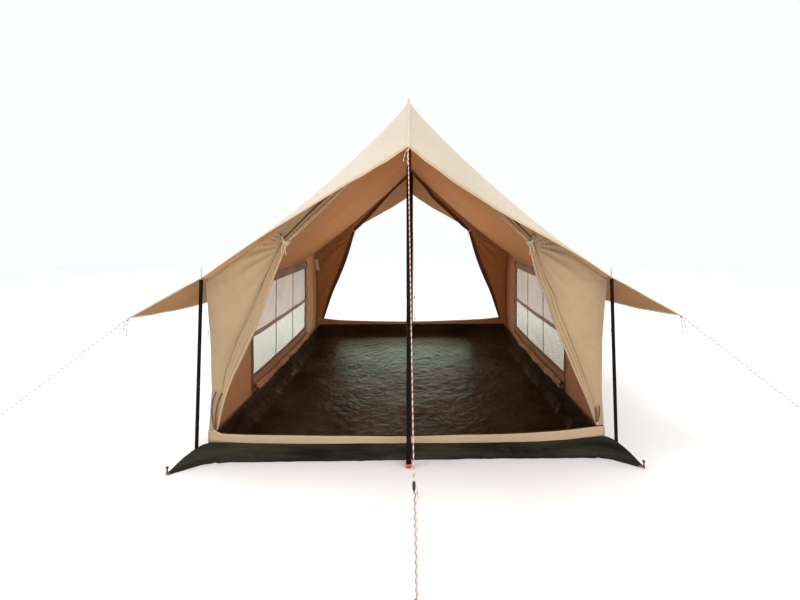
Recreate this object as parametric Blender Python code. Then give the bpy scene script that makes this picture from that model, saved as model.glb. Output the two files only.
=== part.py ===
"""Cabin tent: two centre poles, four corner poles, a hooded fly and gathered cloth gables.

Metres, +Z up. The front gable faces -Y and the origin is on the ground at the tent's middle.
"""

import bmesh
import bpy
from math import cos, hypot, pi, sin
from mathutils import Vector
from mathutils.bvhtree import BVHTree

# Driving dimensions of the frame
WALL_X = 1.355            # half width over the side walls at a corner
GABLE_Y = 1.500           # half length to the middle of a gable cloth
POLE_Y = 1.590            # centre poles and the fold of each canopy
PEAK_Z = 2.410            # top of the fly over a centre pole
EAVE_Z = 1.255            # top of the fly over a corner, where the pole lifts it
EAVE_MID = 1.165          # top of the fly over the rest of a side wall
EAVE_LIFT = 12            # how sharply the eave rises to its corners

# The fly
FLY_T = 0.005             # thickness, measured upright
RIDGE_SAG = 0.030         # how far the ridge hangs halfway between the poles
BEND_END = 0.22           # hollow of the slope at a gable
BEND_MID = 0.08           # hollow of the slope at the middle
WING_END = 0.57           # fall of the wing beyond a corner, per metre
WING_MID = 0.75           # fall of the wing at the middle of the side, per metre
TIP_X = 1.810             # corner tip of the fly
TIP_Y = 1.630
WING_X = 1.620            # edge of the wing at the middle of the side
CANOPY_REACH = 0.240      # how far a canopy stands out past its pole
CANOPY_FALL = 1.375       # fall of a canopy at its middle, per metre
CANOPY_X = 1.300          # where a canopy no longer falls below the slope
CANOPY_SPREAD = 1.8       # how slowly a canopy's fall eases off outwards
ROOF_X = (0.0, 0.16, 0.32, 0.48, 0.65, 0.82, 0.98, 1.14, 1.30, WALL_X)
ROOF_Y = (0.0, 0.35, 0.70, 1.00, 1.25, 1.42, 1.53, 1.59)
WING_STEPS = 3
CANOPY_STEPS = 3

# Poles
POLE_R = 0.015
CORNER_R = 0.0115
CORNER_TOP = (1.370, 1.572)
CORNER_FOOT = (1.426, 1.530)
SPIKE_R = 0.004
SPIKE_RISE = 0.075        # how far a corner spike stands over the fly
PEAK_RISE = 0.045         # how far a centre spike stands over the fly
SHOULDER = 0.012          # height of the taper from a pole to its spike

# Walls, gables and base
CLOTH_T = 0.012           # gathered gable cloth
WALL_T = 0.008
WALL_BOW = 0.040          # how far a side wall draws in at its middle
WINDOW_Y = 0.825          # half length of a window
WINDOW_Z = (0.335, 1.115)
WINDOW_T = 0.003
SKIRT_Z = 0.110
SKIRT_T = 0.006
SKIRT_FLARE = 0.012
KNEE = (0.82, 1.495)      # where a gathered half gable is tied
HIP = (0.48, 1.810)       # its inner edge halfway to the peak
APEX_DROP = 0.050         # depth of the gathered cloth at the peak
HEEL_X = 1.30             # where the gathered cloth meets the sill
HEEL_Z = 0.210            # at the front, where the opening is stepped over
REAR_HEEL_Z = 0.292
FRONT_SILL = ((0.0, 0.155), (0.60, 0.158), (1.00, 0.165), (1.20, 0.176), (HEEL_X, HEEL_Z), (WALL_X, HEEL_Z))
REAR_SILL = (
    (0.0, 0.248), (0.60, 0.256), (1.00, 0.275), (1.24, REAR_HEEL_Z), (HEEL_X, REAR_HEEL_Z), (WALL_X, REAR_HEEL_Z),
)
FLAP = ((1.240, 1.503, 1.00), (1.370, 1.522, 0.97), (1.460, 1.578, 0.66), (1.548, 1.636, 0.10))
TUB_X = 1.300
TUB_Z = 0.200
FRONT_TUB_Z = 0.155       # at the middle of the front edge, which is pressed down
REAR_TUB_Z = 0.215
TUB_T = 0.006
FLOOR_T = 0.004
CURTAIN_Z = (0.206, 0.330)
CURTAIN_Y = 0.840
CURTAIN_T = 0.028

# Guy lines and pegs
GUY_R = 0.0025
FRONT_PEG = (0.045, 2.620)
CORNER_PEG = (3.000, 1.800)
PEG_R = 0.005
PEG_HEAD_R = 0.010
PEG_Z = 0.045
PEG_HEAD_T = 0.006

GAP = 0.0003              # between pieces that touch
SEAT = 0.0005             # under the sloping fly

COLOURS = {
    "canvas": (0.78, 0.66, 0.50, 0.85, 0.0),
    "lining": (0.42, 0.23, 0.12, 0.90, 0.0),
    "window": (0.72, 0.70, 0.62, 0.35, 0.0),
    "floor": (0.035, 0.045, 0.035, 0.40, 0.0),
    "skirt": (0.035, 0.032, 0.024, 0.70, 0.0),
    "pole": (0.012, 0.012, 0.013, 0.45, 0.3),
    "guy": (0.62, 0.10, 0.08, 0.75, 0.0),
    "peg": (0.05, 0.05, 0.05, 0.40, 0.8),
}


def clear_scene():
    for obj in list(bpy.data.objects):
        bpy.data.objects.remove(obj, do_unlink=True)


def material(kind, node):
    red, green, blue, rough, metal = COLOURS[kind]
    made = bpy.data.materials.new(node + "_" + kind)
    made.use_nodes = True
    shader = made.node_tree.nodes["Principled BSDF"]
    shader.inputs["Base Color"].default_value = (red, green, blue, 1.0)
    shader.inputs["Roughness"].default_value = rough
    shader.inputs["Metallic"].default_value = metal
    made.diffuse_color = (red, green, blue, 1.0)
    return made


def finish_mesh(name, kind, shape):
    """Turns a bmesh into a named object with outward faces, all of them triangles."""
    bmesh.ops.recalc_face_normals(shape, faces=shape.faces)
    bmesh.ops.triangulate(shape, faces=shape.faces)
    mesh = bpy.data.meshes.new(name)
    shape.to_mesh(mesh)
    shape.free()
    mesh.materials.append(material(kind, name))
    obj = bpy.data.objects.new(name, mesh)
    bpy.context.scene.collection.objects.link(obj)
    return obj


def thick_sheet(name, kind, front, back, hole=None):
    """A sheet between two grids of points, closed at its rim; hole(i, j) leaves a cell open."""
    shape = bmesh.new()
    rows = len(front) - 1
    columns = len(front[0]) - 1
    made = {}

    def corner(side, i, j):
        if (side, i, j) not in made:
            made[side, i, j] = shape.verts.new((front, back)[side][i][j])
        return made[side, i, j]

    def solid(i, j):
        inside = 0 <= i < rows and 0 <= j < columns
        return inside and not (hole and hole(i, j))

    for i in range(rows):
        for j in range(columns):
            if not solid(i, j):
                continue
            ring = [(i, j), (i + 1, j), (i + 1, j + 1), (i, j + 1)]
            shape.faces.new([corner(0, *at) for at in ring])
            shape.faces.new([corner(1, *at) for at in reversed(ring)])
            beside = [(i, j - 1), (i + 1, j), (i, j + 1), (i - 1, j)]
            for step, cell in enumerate(beside):
                if solid(*cell):
                    continue
                start = ring[step]
                end = ring[(step + 1) % 4]
                shape.faces.new([corner(0, *end), corner(0, *start), corner(1, *start), corner(1, *end)])
    return finish_mesh(name, kind, shape)


def skin(name, kind, rings):
    """A closed solid through rings of points, with its first and last ring filled."""
    shape = bmesh.new()
    loops = [[shape.verts.new(point) for point in ring] for ring in rings]
    count = len(loops[0])
    for low, high in zip(loops, loops[1:]):
        for i in range(count):
            j = (i + 1) % count
            shape.faces.new([low[i], low[j], high[j], high[i]])
    shape.faces.new(list(reversed(loops[0])))
    shape.faces.new(loops[-1])
    return finish_mesh(name, kind, shape)


def disc(centre, radius, sides):
    x, y, z = centre
    turns = [2 * pi * i / sides for i in range(sides)]
    return [(x + radius * cos(turn), y + radius * sin(turn), z) for turn in turns]


def blend(low, high, share):
    return low + (high - low) * share


def steps(start, end, count):
    return [blend(start, end, i / count) for i in range(count + 1)]


def sill_line(end):
    """Top of the sill at the front, where end is -1, or the rear."""
    return FRONT_SILL if end < 0 else REAR_SILL


def line_at(points, x):
    """The height at x on a line through (x, height) points that run outwards."""
    for (x0, z0), (x1, z1) in zip(points, points[1:]):
        if x <= x1:
            return blend(z0, z1, (x - x0) / (x1 - x0))
    return points[-1][1]


def roof_z(x, y):
    """Top of the fly's main slope and wing."""
    along = min(abs(y) / POLE_Y, 1.0) ** 2
    ridge = PEAK_Z - RIDGE_SAG * (1 - along)
    eave = blend(EAVE_MID, EAVE_Z, min(abs(y) / POLE_Y, 1.0) ** EAVE_LIFT)
    bend = blend(BEND_MID, BEND_END, along)
    out = abs(x) / WALL_X
    if out <= 1:
        return ridge - (ridge - eave) * out * (1 + bend * (1 - out))
    return eave - (abs(x) - WALL_X) * blend(WING_MID, WING_END, along)


def canopy_reach(x):
    return CANOPY_REACH * (1 - abs(x) / WALL_X)


def canopy_z(x, reach):
    fall = CANOPY_FALL * (1 - (abs(x) / CANOPY_X) ** CANOPY_SPREAD)
    return roof_z(x, POLE_Y) - fall * reach


def wing_edge(along):
    """The fly's side edge at a share of the way from the middle to a gable."""
    return blend(WING_X, TIP_X, abs(along) ** 4)


def side_x(y):
    """Outer face of a side wall."""
    return WALL_X - WALL_BOW * (1 - (y / GABLE_Y) ** 2)


def mirrored(values):
    """Outward stations made into a run from one side to the other."""
    return [-value for value in reversed(values) if value > 0] + list(values)


def lowered(grid, depth):
    return [[(x, y, z - depth) for x, y, z in row] for row in grid]


def spike_cutter(start, end, name):
    """A hidden round cutter along a pole's spike, a gap wider than the spike."""
    radius = SPIKE_R + GAP
    shape = bmesh.new()
    axis = Vector(end) - Vector(start)
    bmesh.ops.create_cone(
        shape, cap_ends=True, segments=12, radius1=radius, radius2=radius, depth=axis.length
    )
    mesh = bpy.data.meshes.new(name)
    shape.to_mesh(mesh)
    shape.free()
    cutter = bpy.data.objects.new(name, mesh)
    cutter.location = (Vector(start) + Vector(end)) / 2
    cutter.rotation_mode = "QUATERNION"
    cutter.rotation_quaternion = axis.to_track_quat("Z", "Y")
    cutter.hide_render = True
    cutter.display_type = "WIRE"
    bpy.context.scene.collection.objects.link(cutter)
    return cutter


def cut(obj, cutter):
    modifier = obj.modifiers.new(cutter.name, "BOOLEAN")
    modifier.operation = "DIFFERENCE"
    modifier.object = cutter


def corner_axis(side, end):
    """Foot and spike tip of a corner pole, on the line through its foot and its top."""
    foot = Vector((side * CORNER_FOOT[0], end * CORNER_FOOT[1], 0.0))
    top = Vector((side * CORNER_TOP[0], end * CORNER_TOP[1], roof_z(*CORNER_TOP)))
    tip = top + (top - foot).normalized() * SPIKE_RISE
    return foot, tip


def make_roof(name, side):
    """One slope of the fly from the ridge to the wing's edge, gable fold to gable fold."""
    top = []
    for y in mirrored(ROOF_Y):
        along = y / POLE_Y
        edge = wing_edge(along)
        stations = list(ROOF_X) + steps(WALL_X, edge, WING_STEPS)[1:]
        stations[0] = GAP / 2
        row = []
        for x in stations:
            past = max(0.0, x - WALL_X) / (TIP_X - WALL_X)
            corner_y = along * blend(POLE_Y, TIP_Y, past)
            row.append((side * x, corner_y, roof_z(x, corner_y)))
        top.append(row)
    return thick_sheet(name, "canvas", top, lowered(top, FLY_T))


def make_canopy(name, end):
    """The hood in front of a centre pole, from the fold to its front edge."""
    top = []
    for x in mirrored([x for x in ROOF_X if x <= CANOPY_X]):
        far = canopy_reach(x)
        row = []
        for reach in steps(GAP, far, CANOPY_STEPS):
            row.append((x, end * (POLE_Y + reach), canopy_z(x, reach)))
        top.append(row)
    return thick_sheet(name, "canvas", top, lowered(top, FLY_T))


class Underside:
    """Finds the height of the fly's underside over a place on the ground."""

    def __init__(self, pieces):
        self.trees = []
        for obj in pieces:
            shape = bmesh.new()
            shape.from_mesh(obj.data)
            self.trees.append(BVHTree.FromBMesh(shape))
            shape.free()

    def at(self, x, y):
        hits = [tree.ray_cast(Vector((x, y, 0.0)), Vector((0, 0, 1))) for tree in self.trees]
        heights = [hit[0].z for hit in hits if hit[0] is not None]
        return min(heights, default=PEAK_Z)


def make_pole(name, foot, tip, radius, under):
    """A round pole that stands on the ground, with a thin spike up through the fly."""
    axis = (Vector(tip) - Vector(foot)).normalized()

    def on_axis(z):
        return Vector(foot) + axis * ((z - foot[2]) / axis.z)

    guess = on_axis(tip[2] - SPIKE_RISE)
    rim = [under.at(x, y) for x, y, z in disc(guess, radius * 0.55, 12)]
    shoulder = min(rim) - SEAT - 0.002
    neck = on_axis(shoulder)
    rings = [
        disc(foot, radius, 16),
        disc(on_axis(shoulder - SHOULDER), radius, 16),
        disc(neck, radius * 0.5, 16),
        disc(neck, SPIKE_R, 16),
        disc(tip, SPIKE_R * 0.6, 16),
    ]
    return skin(name, "pole", rings)


def make_wall(name, side, under):
    """A side wall under the fly, with its window cut out."""
    stations = [-(GABLE_Y - CLOTH_T / 2 - GAP)]
    inner = [y for y in mirrored(ROOF_Y) if abs(y) < GABLE_Y - 0.05]
    stations += sorted(inner + [-WINDOW_Y, WINDOW_Y])
    stations.append(-stations[0])

    def face(inset):
        grid = []
        for y in stations:
            x = side * (side_x(y) - inset)
            top = under.at(x, y) - SEAT
            levels = [SKIRT_Z + GAP, WINDOW_Z[0], WINDOW_Z[1], top]
            grid.append([(x, y, z) for z in levels])
        return grid

    def window(i, j):
        middle = (stations[i] + stations[i + 1]) / 2
        return j == 1 and abs(middle) < WINDOW_Y

    return thick_sheet(name, "canvas", face(0.0), face(WALL_T), window)


def make_window(name, side):
    """The pane sheet that closes a window, clear of the wall by a gap all round."""
    end = WINDOW_Y - GAP
    stations = [-end] + [y for y in mirrored(ROOF_Y) if abs(y) < end] + [end]
    levels = (WINDOW_Z[0] + GAP, WINDOW_Z[1] - GAP)

    def face(inset):
        return [[(side * (side_x(y) - inset), y, z) for z in levels] for y in stations]

    middle = (WALL_T - WINDOW_T) / 2
    return thick_sheet(name, "window", face(middle), face(middle + WINDOW_T))


def make_curtain(name, side):
    """A curtain bunched in folds on the wall under its window."""
    stations = [-CURTAIN_Y] + [y for y in mirrored(ROOF_Y) if abs(y) < CURTAIN_Y - 0.05] + [CURTAIN_Y]

    def face(inset):
        grid = []
        for y in stations:
            x = side * (side_x(y) - WALL_T - GAP - inset)
            grid.append([(x, y, z) for z in CURTAIN_Z])
        return grid

    return thick_sheet(name, "lining", face(0.0), face(CURTAIN_T))


def make_door(name, side, end, under):
    """Half a gable cloth, gathered along the slope and tied at the knee."""
    heel = sill_line(end)[-1][1] + GAP
    inner_edge = [(0.0, PEAK_Z - APEX_DROP), HIP, KNEE, (HEEL_X, heel), (WALL_X, heel)]
    stations = [GAP] + list(ROOF_X[1:])

    def face(y):
        grid = []
        for x in stations:
            low = line_at(inner_edge, x)
            top = under.at(side * x, end * y) - SEAT
            grid.append([(side * x, end * y, z) for z in steps(low, top, 3)])
        return grid

    return thick_sheet(name, "canvas", face(GABLE_Y - CLOTH_T / 2), face(GABLE_Y + CLOTH_T / 2))


def make_sill(name, end):
    """The cream band along the foot of a gable opening."""
    top = sill_line(end)
    outward = [x for x, z in top]

    def face(y):
        return [[(x, end * y, SKIRT_Z + GAP), (x, end * y, line_at(top, abs(x)))] for x in mirrored(outward)]

    return thick_sheet(name, "canvas", face(GABLE_Y - CLOTH_T / 2), face(GABLE_Y + CLOTH_T / 2))


def make_gable_skirt(name, end):
    """The black skirt under a sill, whose ends run out as pegged corner flaps."""
    path = [(-x, y, high) for x, y, high in reversed(FLAP)] + list(FLAP)
    half = SKIRT_T / 2

    def face(offset):
        grid = []
        for i, (x, y, high) in enumerate(path):
            before = path[max(i - 1, 0)]
            after = path[min(i + 1, len(path) - 1)]
            run = (after[0] - before[0], after[1] - before[1])
            length = hypot(*run)
            nx = -run[1] / length
            ny = run[0] / length
            at = (x + nx * offset, end * (y + ny * offset))
            grid.append([(*at, 0.0), (*at, (SKIRT_Z - GAP) * high)])
        return grid

    return thick_sheet(name, "skirt", face(-half), face(half))


def make_side_skirt(name, side):
    """The black skirt under a side wall, a little wider at the ground."""
    reach = GABLE_Y - CLOTH_T / 2 - GAP
    stations = [-reach] + [y for y in mirrored(ROOF_Y) if abs(y) < 1.3] + [reach]

    def face(inset):
        grid = []
        for y in stations:
            x = side_x(y) - inset
            grid.append([(side * (x + SKIRT_FLARE), y, 0.0), (side * x, y, SKIRT_Z - GAP)])
        return grid

    return thick_sheet(name, "skirt", face(0.0), face(SKIRT_T))


def make_groundsheet():
    """The floor with its edges turned up all round."""
    reach = GABLE_Y - CLOTH_T / 2 - GAP

    def ring(inset, floor=None):
        x = TUB_X - inset
        y = reach - inset
        plan = [(-x, -y), (0, -y), (x, -y), (x, 0), (x, y), (0, y), (-x, y), (-x, 0)]
        heights = [TUB_Z, FRONT_TUB_Z, TUB_Z, TUB_Z, TUB_Z, REAR_TUB_Z, TUB_Z, TUB_Z]
        return [(px, py, high if floor is None else floor) for (px, py), high in zip(plan, heights)]

    rings = [ring(0.0, 0.0), ring(0.0), ring(TUB_T), ring(TUB_T, FLOOR_T)]
    return skin("groundsheet", "floor", rings)


def make_peg(name, x, y):
    """A ground peg from the ground up, with a round head."""
    shaft = PEG_Z - PEG_HEAD_T
    rings = [
        disc((x, y, 0.0), PEG_R, 12),
        disc((x, y, shaft), PEG_R, 12),
        disc((x, y, shaft), PEG_HEAD_R, 12),
        disc((x, y, PEG_Z), PEG_HEAD_R, 12),
    ]
    return skin(name, "peg", rings)


def make_guy(name, tip, peg):
    """A taut line from under a tip of the fly to the head of its peg."""
    run = hypot(peg[0] - tip[0], peg[1] - tip[1])
    rise = tip[2] - PEG_Z
    lift = GUY_R * run / hypot(run, rise) + SEAT
    curve = bpy.data.curves.new(name, "CURVE")
    curve.dimensions = "3D"
    curve.bevel_depth = GUY_R
    curve.bevel_resolution = 2
    curve.use_fill_caps = True
    spline = curve.splines.new("POLY")
    spline.points.add(1)
    spline.points[0].co = (tip[0], tip[1], tip[2] - lift, 1.0)
    spline.points[1].co = (peg[0], peg[1], PEG_Z + lift, 1.0)
    curve.materials.append(material("guy", name))
    obj = bpy.data.objects.new(name, curve)
    bpy.context.scene.collection.objects.link(obj)
    return obj


def flap_peg():
    """Where a corner flap's peg stands, just past the end of the flap."""
    (x0, y0, high0), (x1, y1, high1) = FLAP[-2:]
    past = (PEG_R + GAP) / hypot(x1 - x0, y1 - y0)
    return x1 + (x1 - x0) * past, y1 + (y1 - y0) * past


def make_fly():
    """Both slopes and both canopies, and the underside that the rest is set against."""
    slopes = {"left": make_roof("roof_left", -1), "right": make_roof("roof_right", 1)}
    canopies = {"front": make_canopy("front_canopy", -1), "rear": make_canopy("rear_canopy", 1)}
    under = Underside(list(slopes.values()) + list(canopies.values()))
    return slopes, canopies, under


def make_poles(slopes, canopies, under):
    for end_name, end in ENDS:
        foot = (0.0, end * POLE_Y, 0.0)
        tip = (0.0, end * POLE_Y, PEAK_Z + PEAK_RISE)
        make_pole(end_name + "_pole", foot, tip, POLE_R, under)
        cutter = spike_cutter((0.0, end * POLE_Y, PEAK_Z - 0.1), tip, end_name + "_cut")
        for piece in (slopes["left"], slopes["right"], canopies[end_name]):
            cut(piece, cutter)
        for side_name, side in SIDES:
            foot, tip = corner_axis(side, end)
            name = end_name + "_" + side_name
            make_pole(name + "_pole", foot, tip, CORNER_R, under)
            start = tip - (tip - foot).normalized() * 0.15
            cut(slopes[side_name], spike_cutter(start, tip, name + "_cut"))


def make_guys_and_pegs():
    for end_name, end in ENDS:
        canopy_tip = (0.0, end * (POLE_Y + CANOPY_REACH - GUY_R), canopy_z(0.0, CANOPY_REACH) - FLY_T)
        peg = (FRONT_PEG[0], end * FRONT_PEG[1])
        make_guy(end_name + "_guy", canopy_tip, peg)
        make_peg(end_name + "_peg", *peg)
        for side_name, side in SIDES:
            name = end_name + "_" + side_name
            fly_tip = (side * (TIP_X - GUY_R), end * (TIP_Y - GUY_R / 2), roof_z(TIP_X, TIP_Y) - FLY_T)
            peg = (side * CORNER_PEG[0], end * CORNER_PEG[1])
            make_guy(name + "_guy", fly_tip, peg)
            make_peg(name + "_guy_peg", *peg)
            flap_x, flap_y = flap_peg()
            make_peg(name + "_flap_peg", side * flap_x, end * flap_y)


SIDES = (("left", -1), ("right", 1))
ENDS = (("front", -1), ("rear", 1))


def main():
    clear_scene()
    slopes, canopies, under = make_fly()
    make_poles(slopes, canopies, under)
    for side_name, side in SIDES:
        make_wall(side_name + "_wall", side, under)
        make_window(side_name + "_window", side)
        make_curtain(side_name + "_curtain", side)
        make_side_skirt(side_name + "_skirt", side)
    for end_name, end in ENDS:
        for side_name, side in SIDES:
            make_door(end_name + "_" + side_name + "_door", side, end, under)
        make_sill(end_name + "_sill", end)
        make_gable_skirt(end_name + "_skirt", end)
    make_groundsheet()
    make_guys_and_pegs()


main()
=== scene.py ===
from math import cos, pi, sin

import bpy
import numpy as np
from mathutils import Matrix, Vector, noise


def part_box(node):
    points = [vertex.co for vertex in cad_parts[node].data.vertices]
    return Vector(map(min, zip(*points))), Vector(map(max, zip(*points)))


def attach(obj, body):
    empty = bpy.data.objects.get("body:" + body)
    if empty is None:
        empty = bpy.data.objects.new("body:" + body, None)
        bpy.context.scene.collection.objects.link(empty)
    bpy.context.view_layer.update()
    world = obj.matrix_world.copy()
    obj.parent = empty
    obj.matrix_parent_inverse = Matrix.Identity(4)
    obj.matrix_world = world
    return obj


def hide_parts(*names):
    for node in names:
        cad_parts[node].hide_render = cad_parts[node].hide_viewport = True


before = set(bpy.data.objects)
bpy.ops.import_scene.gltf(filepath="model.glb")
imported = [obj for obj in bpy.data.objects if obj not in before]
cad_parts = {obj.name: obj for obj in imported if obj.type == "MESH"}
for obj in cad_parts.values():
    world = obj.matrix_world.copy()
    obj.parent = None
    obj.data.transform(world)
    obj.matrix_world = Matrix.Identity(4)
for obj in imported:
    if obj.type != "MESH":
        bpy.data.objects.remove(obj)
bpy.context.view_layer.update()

# The fly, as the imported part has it, with its eaves lifted a little sooner towards the gables
WALL_X = 1.355
GABLE_Y = 1.500
POLE_Y = 1.590
PEAK_Z = 2.410
EAVE_Z = 1.262
EAVE_MID = 1.165
EAVE_LIFT = 4
RIDGE_SAG = 0.030
BEND_END = 0.22
BEND_MID = 0.08
WING_END = 0.57
WING_MID = 0.75
TIP_X = 1.810
TIP_Y = 1.630
WING_X = 1.620
CANOPY_REACH = 0.240
CANOPY_FALL = 1.375
CANOPY_SHAPES = {         # where its fall ends, and how slowly
    "left": (1.25, 1.2),
    "right": (1.32, 2.6),
    "rear": (1.30, 1.8),
}
FLY_T = 0.002
HEM = 0.020               # least width of cloth past the fold of the fly
FOLD_ROUND = (0.003, 0.014)   # softness of that fold at the peak and away from it
CUSP = 0.022              # how far a centre pole draws the cloth up at its peak

# Walls, gables and base
WALL_BOW = 0.040
WINDOW_Y = 0.825
WINDOW_Z = (0.335, 1.115)
PANE_Y = (-0.275, 0.275)  # upright bars
PANE_Z = 0.680            # middle of the level bar
LEVEL_BARS = (            # height over its middle, width, thickness and material of each tape in it
    (-0.016, 0.007, 0.0052, "bar"),
    (0.0, 0.026, 0.0040, "pale_bar"),
    (0.016, 0.007, 0.0052, "bar"),
)
# painted light on the inside of the left wall runs from here to its rear end
LIT_STRIP_Y = 0.88            # where the rear strip of a wall begins
HEADER_Z = 1.121          # middle of the tape that the rolled cover hangs from
HEADER = (
    (-0.046, 0.000), (-0.044, -0.004), (-0.030, -0.006), (-0.012, -0.004), (0.008, -0.006), (0.026, -0.005),
    (0.041, -0.003), (0.042, 0.000), (0.030, 0.003), (0.0, 0.003), (-0.030, 0.003),
)
TOGGLE_Y = (-0.80, -0.40, 0.0, 0.40, 0.80)
SKIRT_Z = 0.110
SKIRT_END_Z = 0.128       # top of the skirt at a corner
FLAP = ((1.240, 1.503, 1.00), (1.370, 1.522, 0.97), (1.460, 1.578, 0.66), (1.548, 1.636, 0.10))
REAR_SILL = (
    (-1.362, 0.302), (-1.24, 0.298), (-0.90, 0.268), (0.0, 0.248), (0.90, 0.274), (1.24, 0.304),
    (1.362, 0.306),
)
FRONT_SILL = (
    (-1.362, 0.213), (-1.312, 0.208), (-1.214, 0.184), (-0.742, 0.170), (0.0, 0.157), (0.351, 0.163),
    (0.628, 0.163), (1.044, 0.182), (1.302, 0.209), (1.362, 0.212),
)
REAR_SEAM = ((-1.362, 0.128), (-0.9, 0.114), (0.0, 0.110), (0.9, 0.114), (1.362, 0.128))
FRONT_SEAM = ((-1.362, 0.137), (-0.9, 0.118), (0.0, 0.110), (0.60, 0.108), (1.04, 0.120), (1.362, 0.152))
SKIRT_FLARE = 0.012
NOTCH_X = 1.306           # where the foot of a gable skirt is drawn in before its flap
TUB_X = 1.300
TUB_Z = 0.200
TUB_TURN = 0.075          # how softly the floor turns up into its edges
REAR_RISE = 0.038         # how far the floor is drawn up at the rear sill
CURTAIN_Y = 0.840
CURTAIN_Z = (0.204, 0.330)
ROLL_DEEP = 0.028         # half depth of the blind's roll
ROLL_TALL = 0.035         # half its height
CLOTH_T = 0.002
GABLE_T = 0.0016
SKIRT_T = 0.0016
BLIND_T = 0.0009
PANE_T = 0.0008
FLOOR_T = 0.0015
THREAD = 0.0011           # from thread to thread
SHARP_TURN = 0.7          # faces that meet at more than this look sharp

# Tapes, hems, zips and bars: width and thickness
FLY_HEM = (0.024, 0.0046)
RIDGE_TAPE = (0.020, 0.0024)
SEAM_TAPE = (0.014, 0.0022)
GABLE_HEM = (0.011, 0.0030)
GABLE_ZIP = (0.010, 0.0030)
WALL_ZIP = (0.013, 0.0050)
HANGING_TAPE = (0.040, 0.0020)
WINDOW_EDGE = (0.028, 0.0052)
UPRIGHT_BAR = (0.013, 0.0056)
SILL_HEM = (0.016, 0.0046)
SKIRT_SEAM = (0.010, 0.0034)
POLE_LOOP = (0.020, 0.0022)
FLAP_LOOP = (0.011, 0.0020)

# Gathered gable cloth: its inner edge from the sill corner up to the tie, then up to the peak
EDGE_LOW = {
    "left": (
        (1.296, 0.215), (1.262, 0.367), (1.228, 0.479), (1.182, 0.592), (1.132, 0.693), (1.029, 0.925),
        (0.920, 1.234), (0.822, 1.488),
    ),
    "right": (
        (1.294, 0.222), (1.222, 0.410), (1.150, 0.572), (1.100, 0.690), (1.000, 0.930), (0.941, 1.110),
        (0.884, 1.230), (0.818, 1.488),
    ),
}
REAR_EDGE_HIGH = {
    "left": ((0.802, 1.529), (0.640, 1.680), (0.485, 1.844), (0.273, 2.088), (0.090, 2.258), (0.012, 2.335)),
    "right": ((0.802, 1.529), (0.690, 1.618), (0.506, 1.791), (0.293, 1.990), (0.169, 2.155), (0.012, 2.335)),
}
EDGE_HIGH = ((0.822, 1.488), (0.640, 1.655), (0.430, 1.862), (0.200, 2.110), (0.012, 2.330))
REAR_EDGE_LOW = (
    (1.236, 0.294), (1.190, 0.430), (1.110, 0.665), (1.000, 0.915), (0.900, 1.180), (0.802, 1.529),
)
CORNER_LINES = {
    "left": ((0.11, 1.362), (0.24, 1.354), (0.48, 1.337), (0.82, 1.346), (1.04, 1.363), (1.22, 1.376)),
    "right": ((0.11, 1.360), (0.20, 1.352), (0.45, 1.336), (0.80, 1.339), (1.10, 1.361), (1.23, 1.376)),
    "rear": ((0.11, 1.356), (0.27, 1.350), (0.54, 1.340), (0.80, 1.342), (1.10, 1.354), (1.22, 1.366)),
}
BAND_LOW = {
    "left": (
        (0.0, 0.020), (0.12, 0.024), (0.21, 0.038), (0.30, 0.062), (0.47, 0.084), (0.60, 0.074),
        (0.80, 0.058), (1.0, 0.038),
    ),
    "right": ((0.0, 0.026), (0.2, 0.046), (0.5, 0.062), (0.8, 0.060), (1.0, 0.038)),
}
BAND_HIGH = ((0.0, 0.040), (0.20, 0.056), (0.55, 0.058), (1.0, 0.030))
ZIPS = {
    "left": (
        ((1.301, 0.480), (1.321, 0.419), (1.325, 0.338), (1.308, 0.216)),
        ((1.262, 0.470), (1.286, 0.410), (1.300, 0.330), (1.304, 0.222)),
    ),
    "right": (
        ((1.313, 0.360), (1.306, 0.290), (1.296, 0.242)),
        ((1.286, 0.350), (1.290, 0.300), (1.292, 0.250)),
    ),
}

# Poles, lines and pegs
POLE_R = 0.015
CORNER_R = 0.0115
CORNER_TOP = (1.370, 1.572)
CORNER_FOOT = (1.426, 1.530)
GUY_R = 0.0027
TIP_ENDS = ((0.030, 0.075), (0.006, 0.100))     # how far out and down each loose end at a tip hangs
TIE_R = 0.0026            # cord round a gable cloth
TIE_ROUND = 0.026         # radius of its rings
TIE_RINGS = ((0.0, -0.007), (0.1, 0.0), (-0.08, 0.006), (0.62, 0.002), (-0.62, 0.002))   # tilt and place
TIE_ENDS = ((0.020, 0.060), (-0.014, 0.078))    # how far out and down each loose end of it hangs
POLE_JOINTS = (0.82, 1.63)
CENTRE_SPIKE = ((0.0, 0.0042), (0.062, 0.0040), (0.066, 0.0024), (0.067, 0.0006))   # distance and radius
CORNER_SPIKE = ((0.0, 0.0035), (0.073, 0.0034), (0.077, 0.002), (0.078, 0.0005))
GUY_BACK = 0.42           # from a peg back up to its runner
PEG_Z = 0.045

# Camera and light
CAMERA = (0.039, -4.32, 1.6)
CAMERA_TURN = -0.0225
LENS = 18.495
SHIFT = (-0.0298, -0.0925)
FLOOR_HALF = 14.0
SKY = 1.0
LIGHTS = (
    ("key", "AREA", 360.0, (4.0, 4.0), (-3.6, -1.5, 8.2), (0.0, 0.0, 0.8), (0.95, 0.98, 1.0)),
    ("fill", "AREA", 150.0, (5.0, 5.0), (5.2, -6.0, 4.2), (0.0, 0.0, 0.8), (1.0, 0.94, 0.86)),
    ("back", "AREA", 45.0, (2.5, 2.5), (0.0, 5.0, 0.9), (0.0, 1.7, 2.1), (1.0, 0.95, 0.88)),
    ("room", "POINT", 20.0, (0.45, 0.45), (0.0, 0.1, 0.95), (0.0, 0.0, 0.0), (1.0, 0.74, 0.48)),
    ("sheen", "AREA", 15.0, (1.9, 0.22), (-0.11, 1.44, 0.20), (-0.11, 0.7, 0.0), (0.74, 1.0, 0.82)),
)

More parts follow.
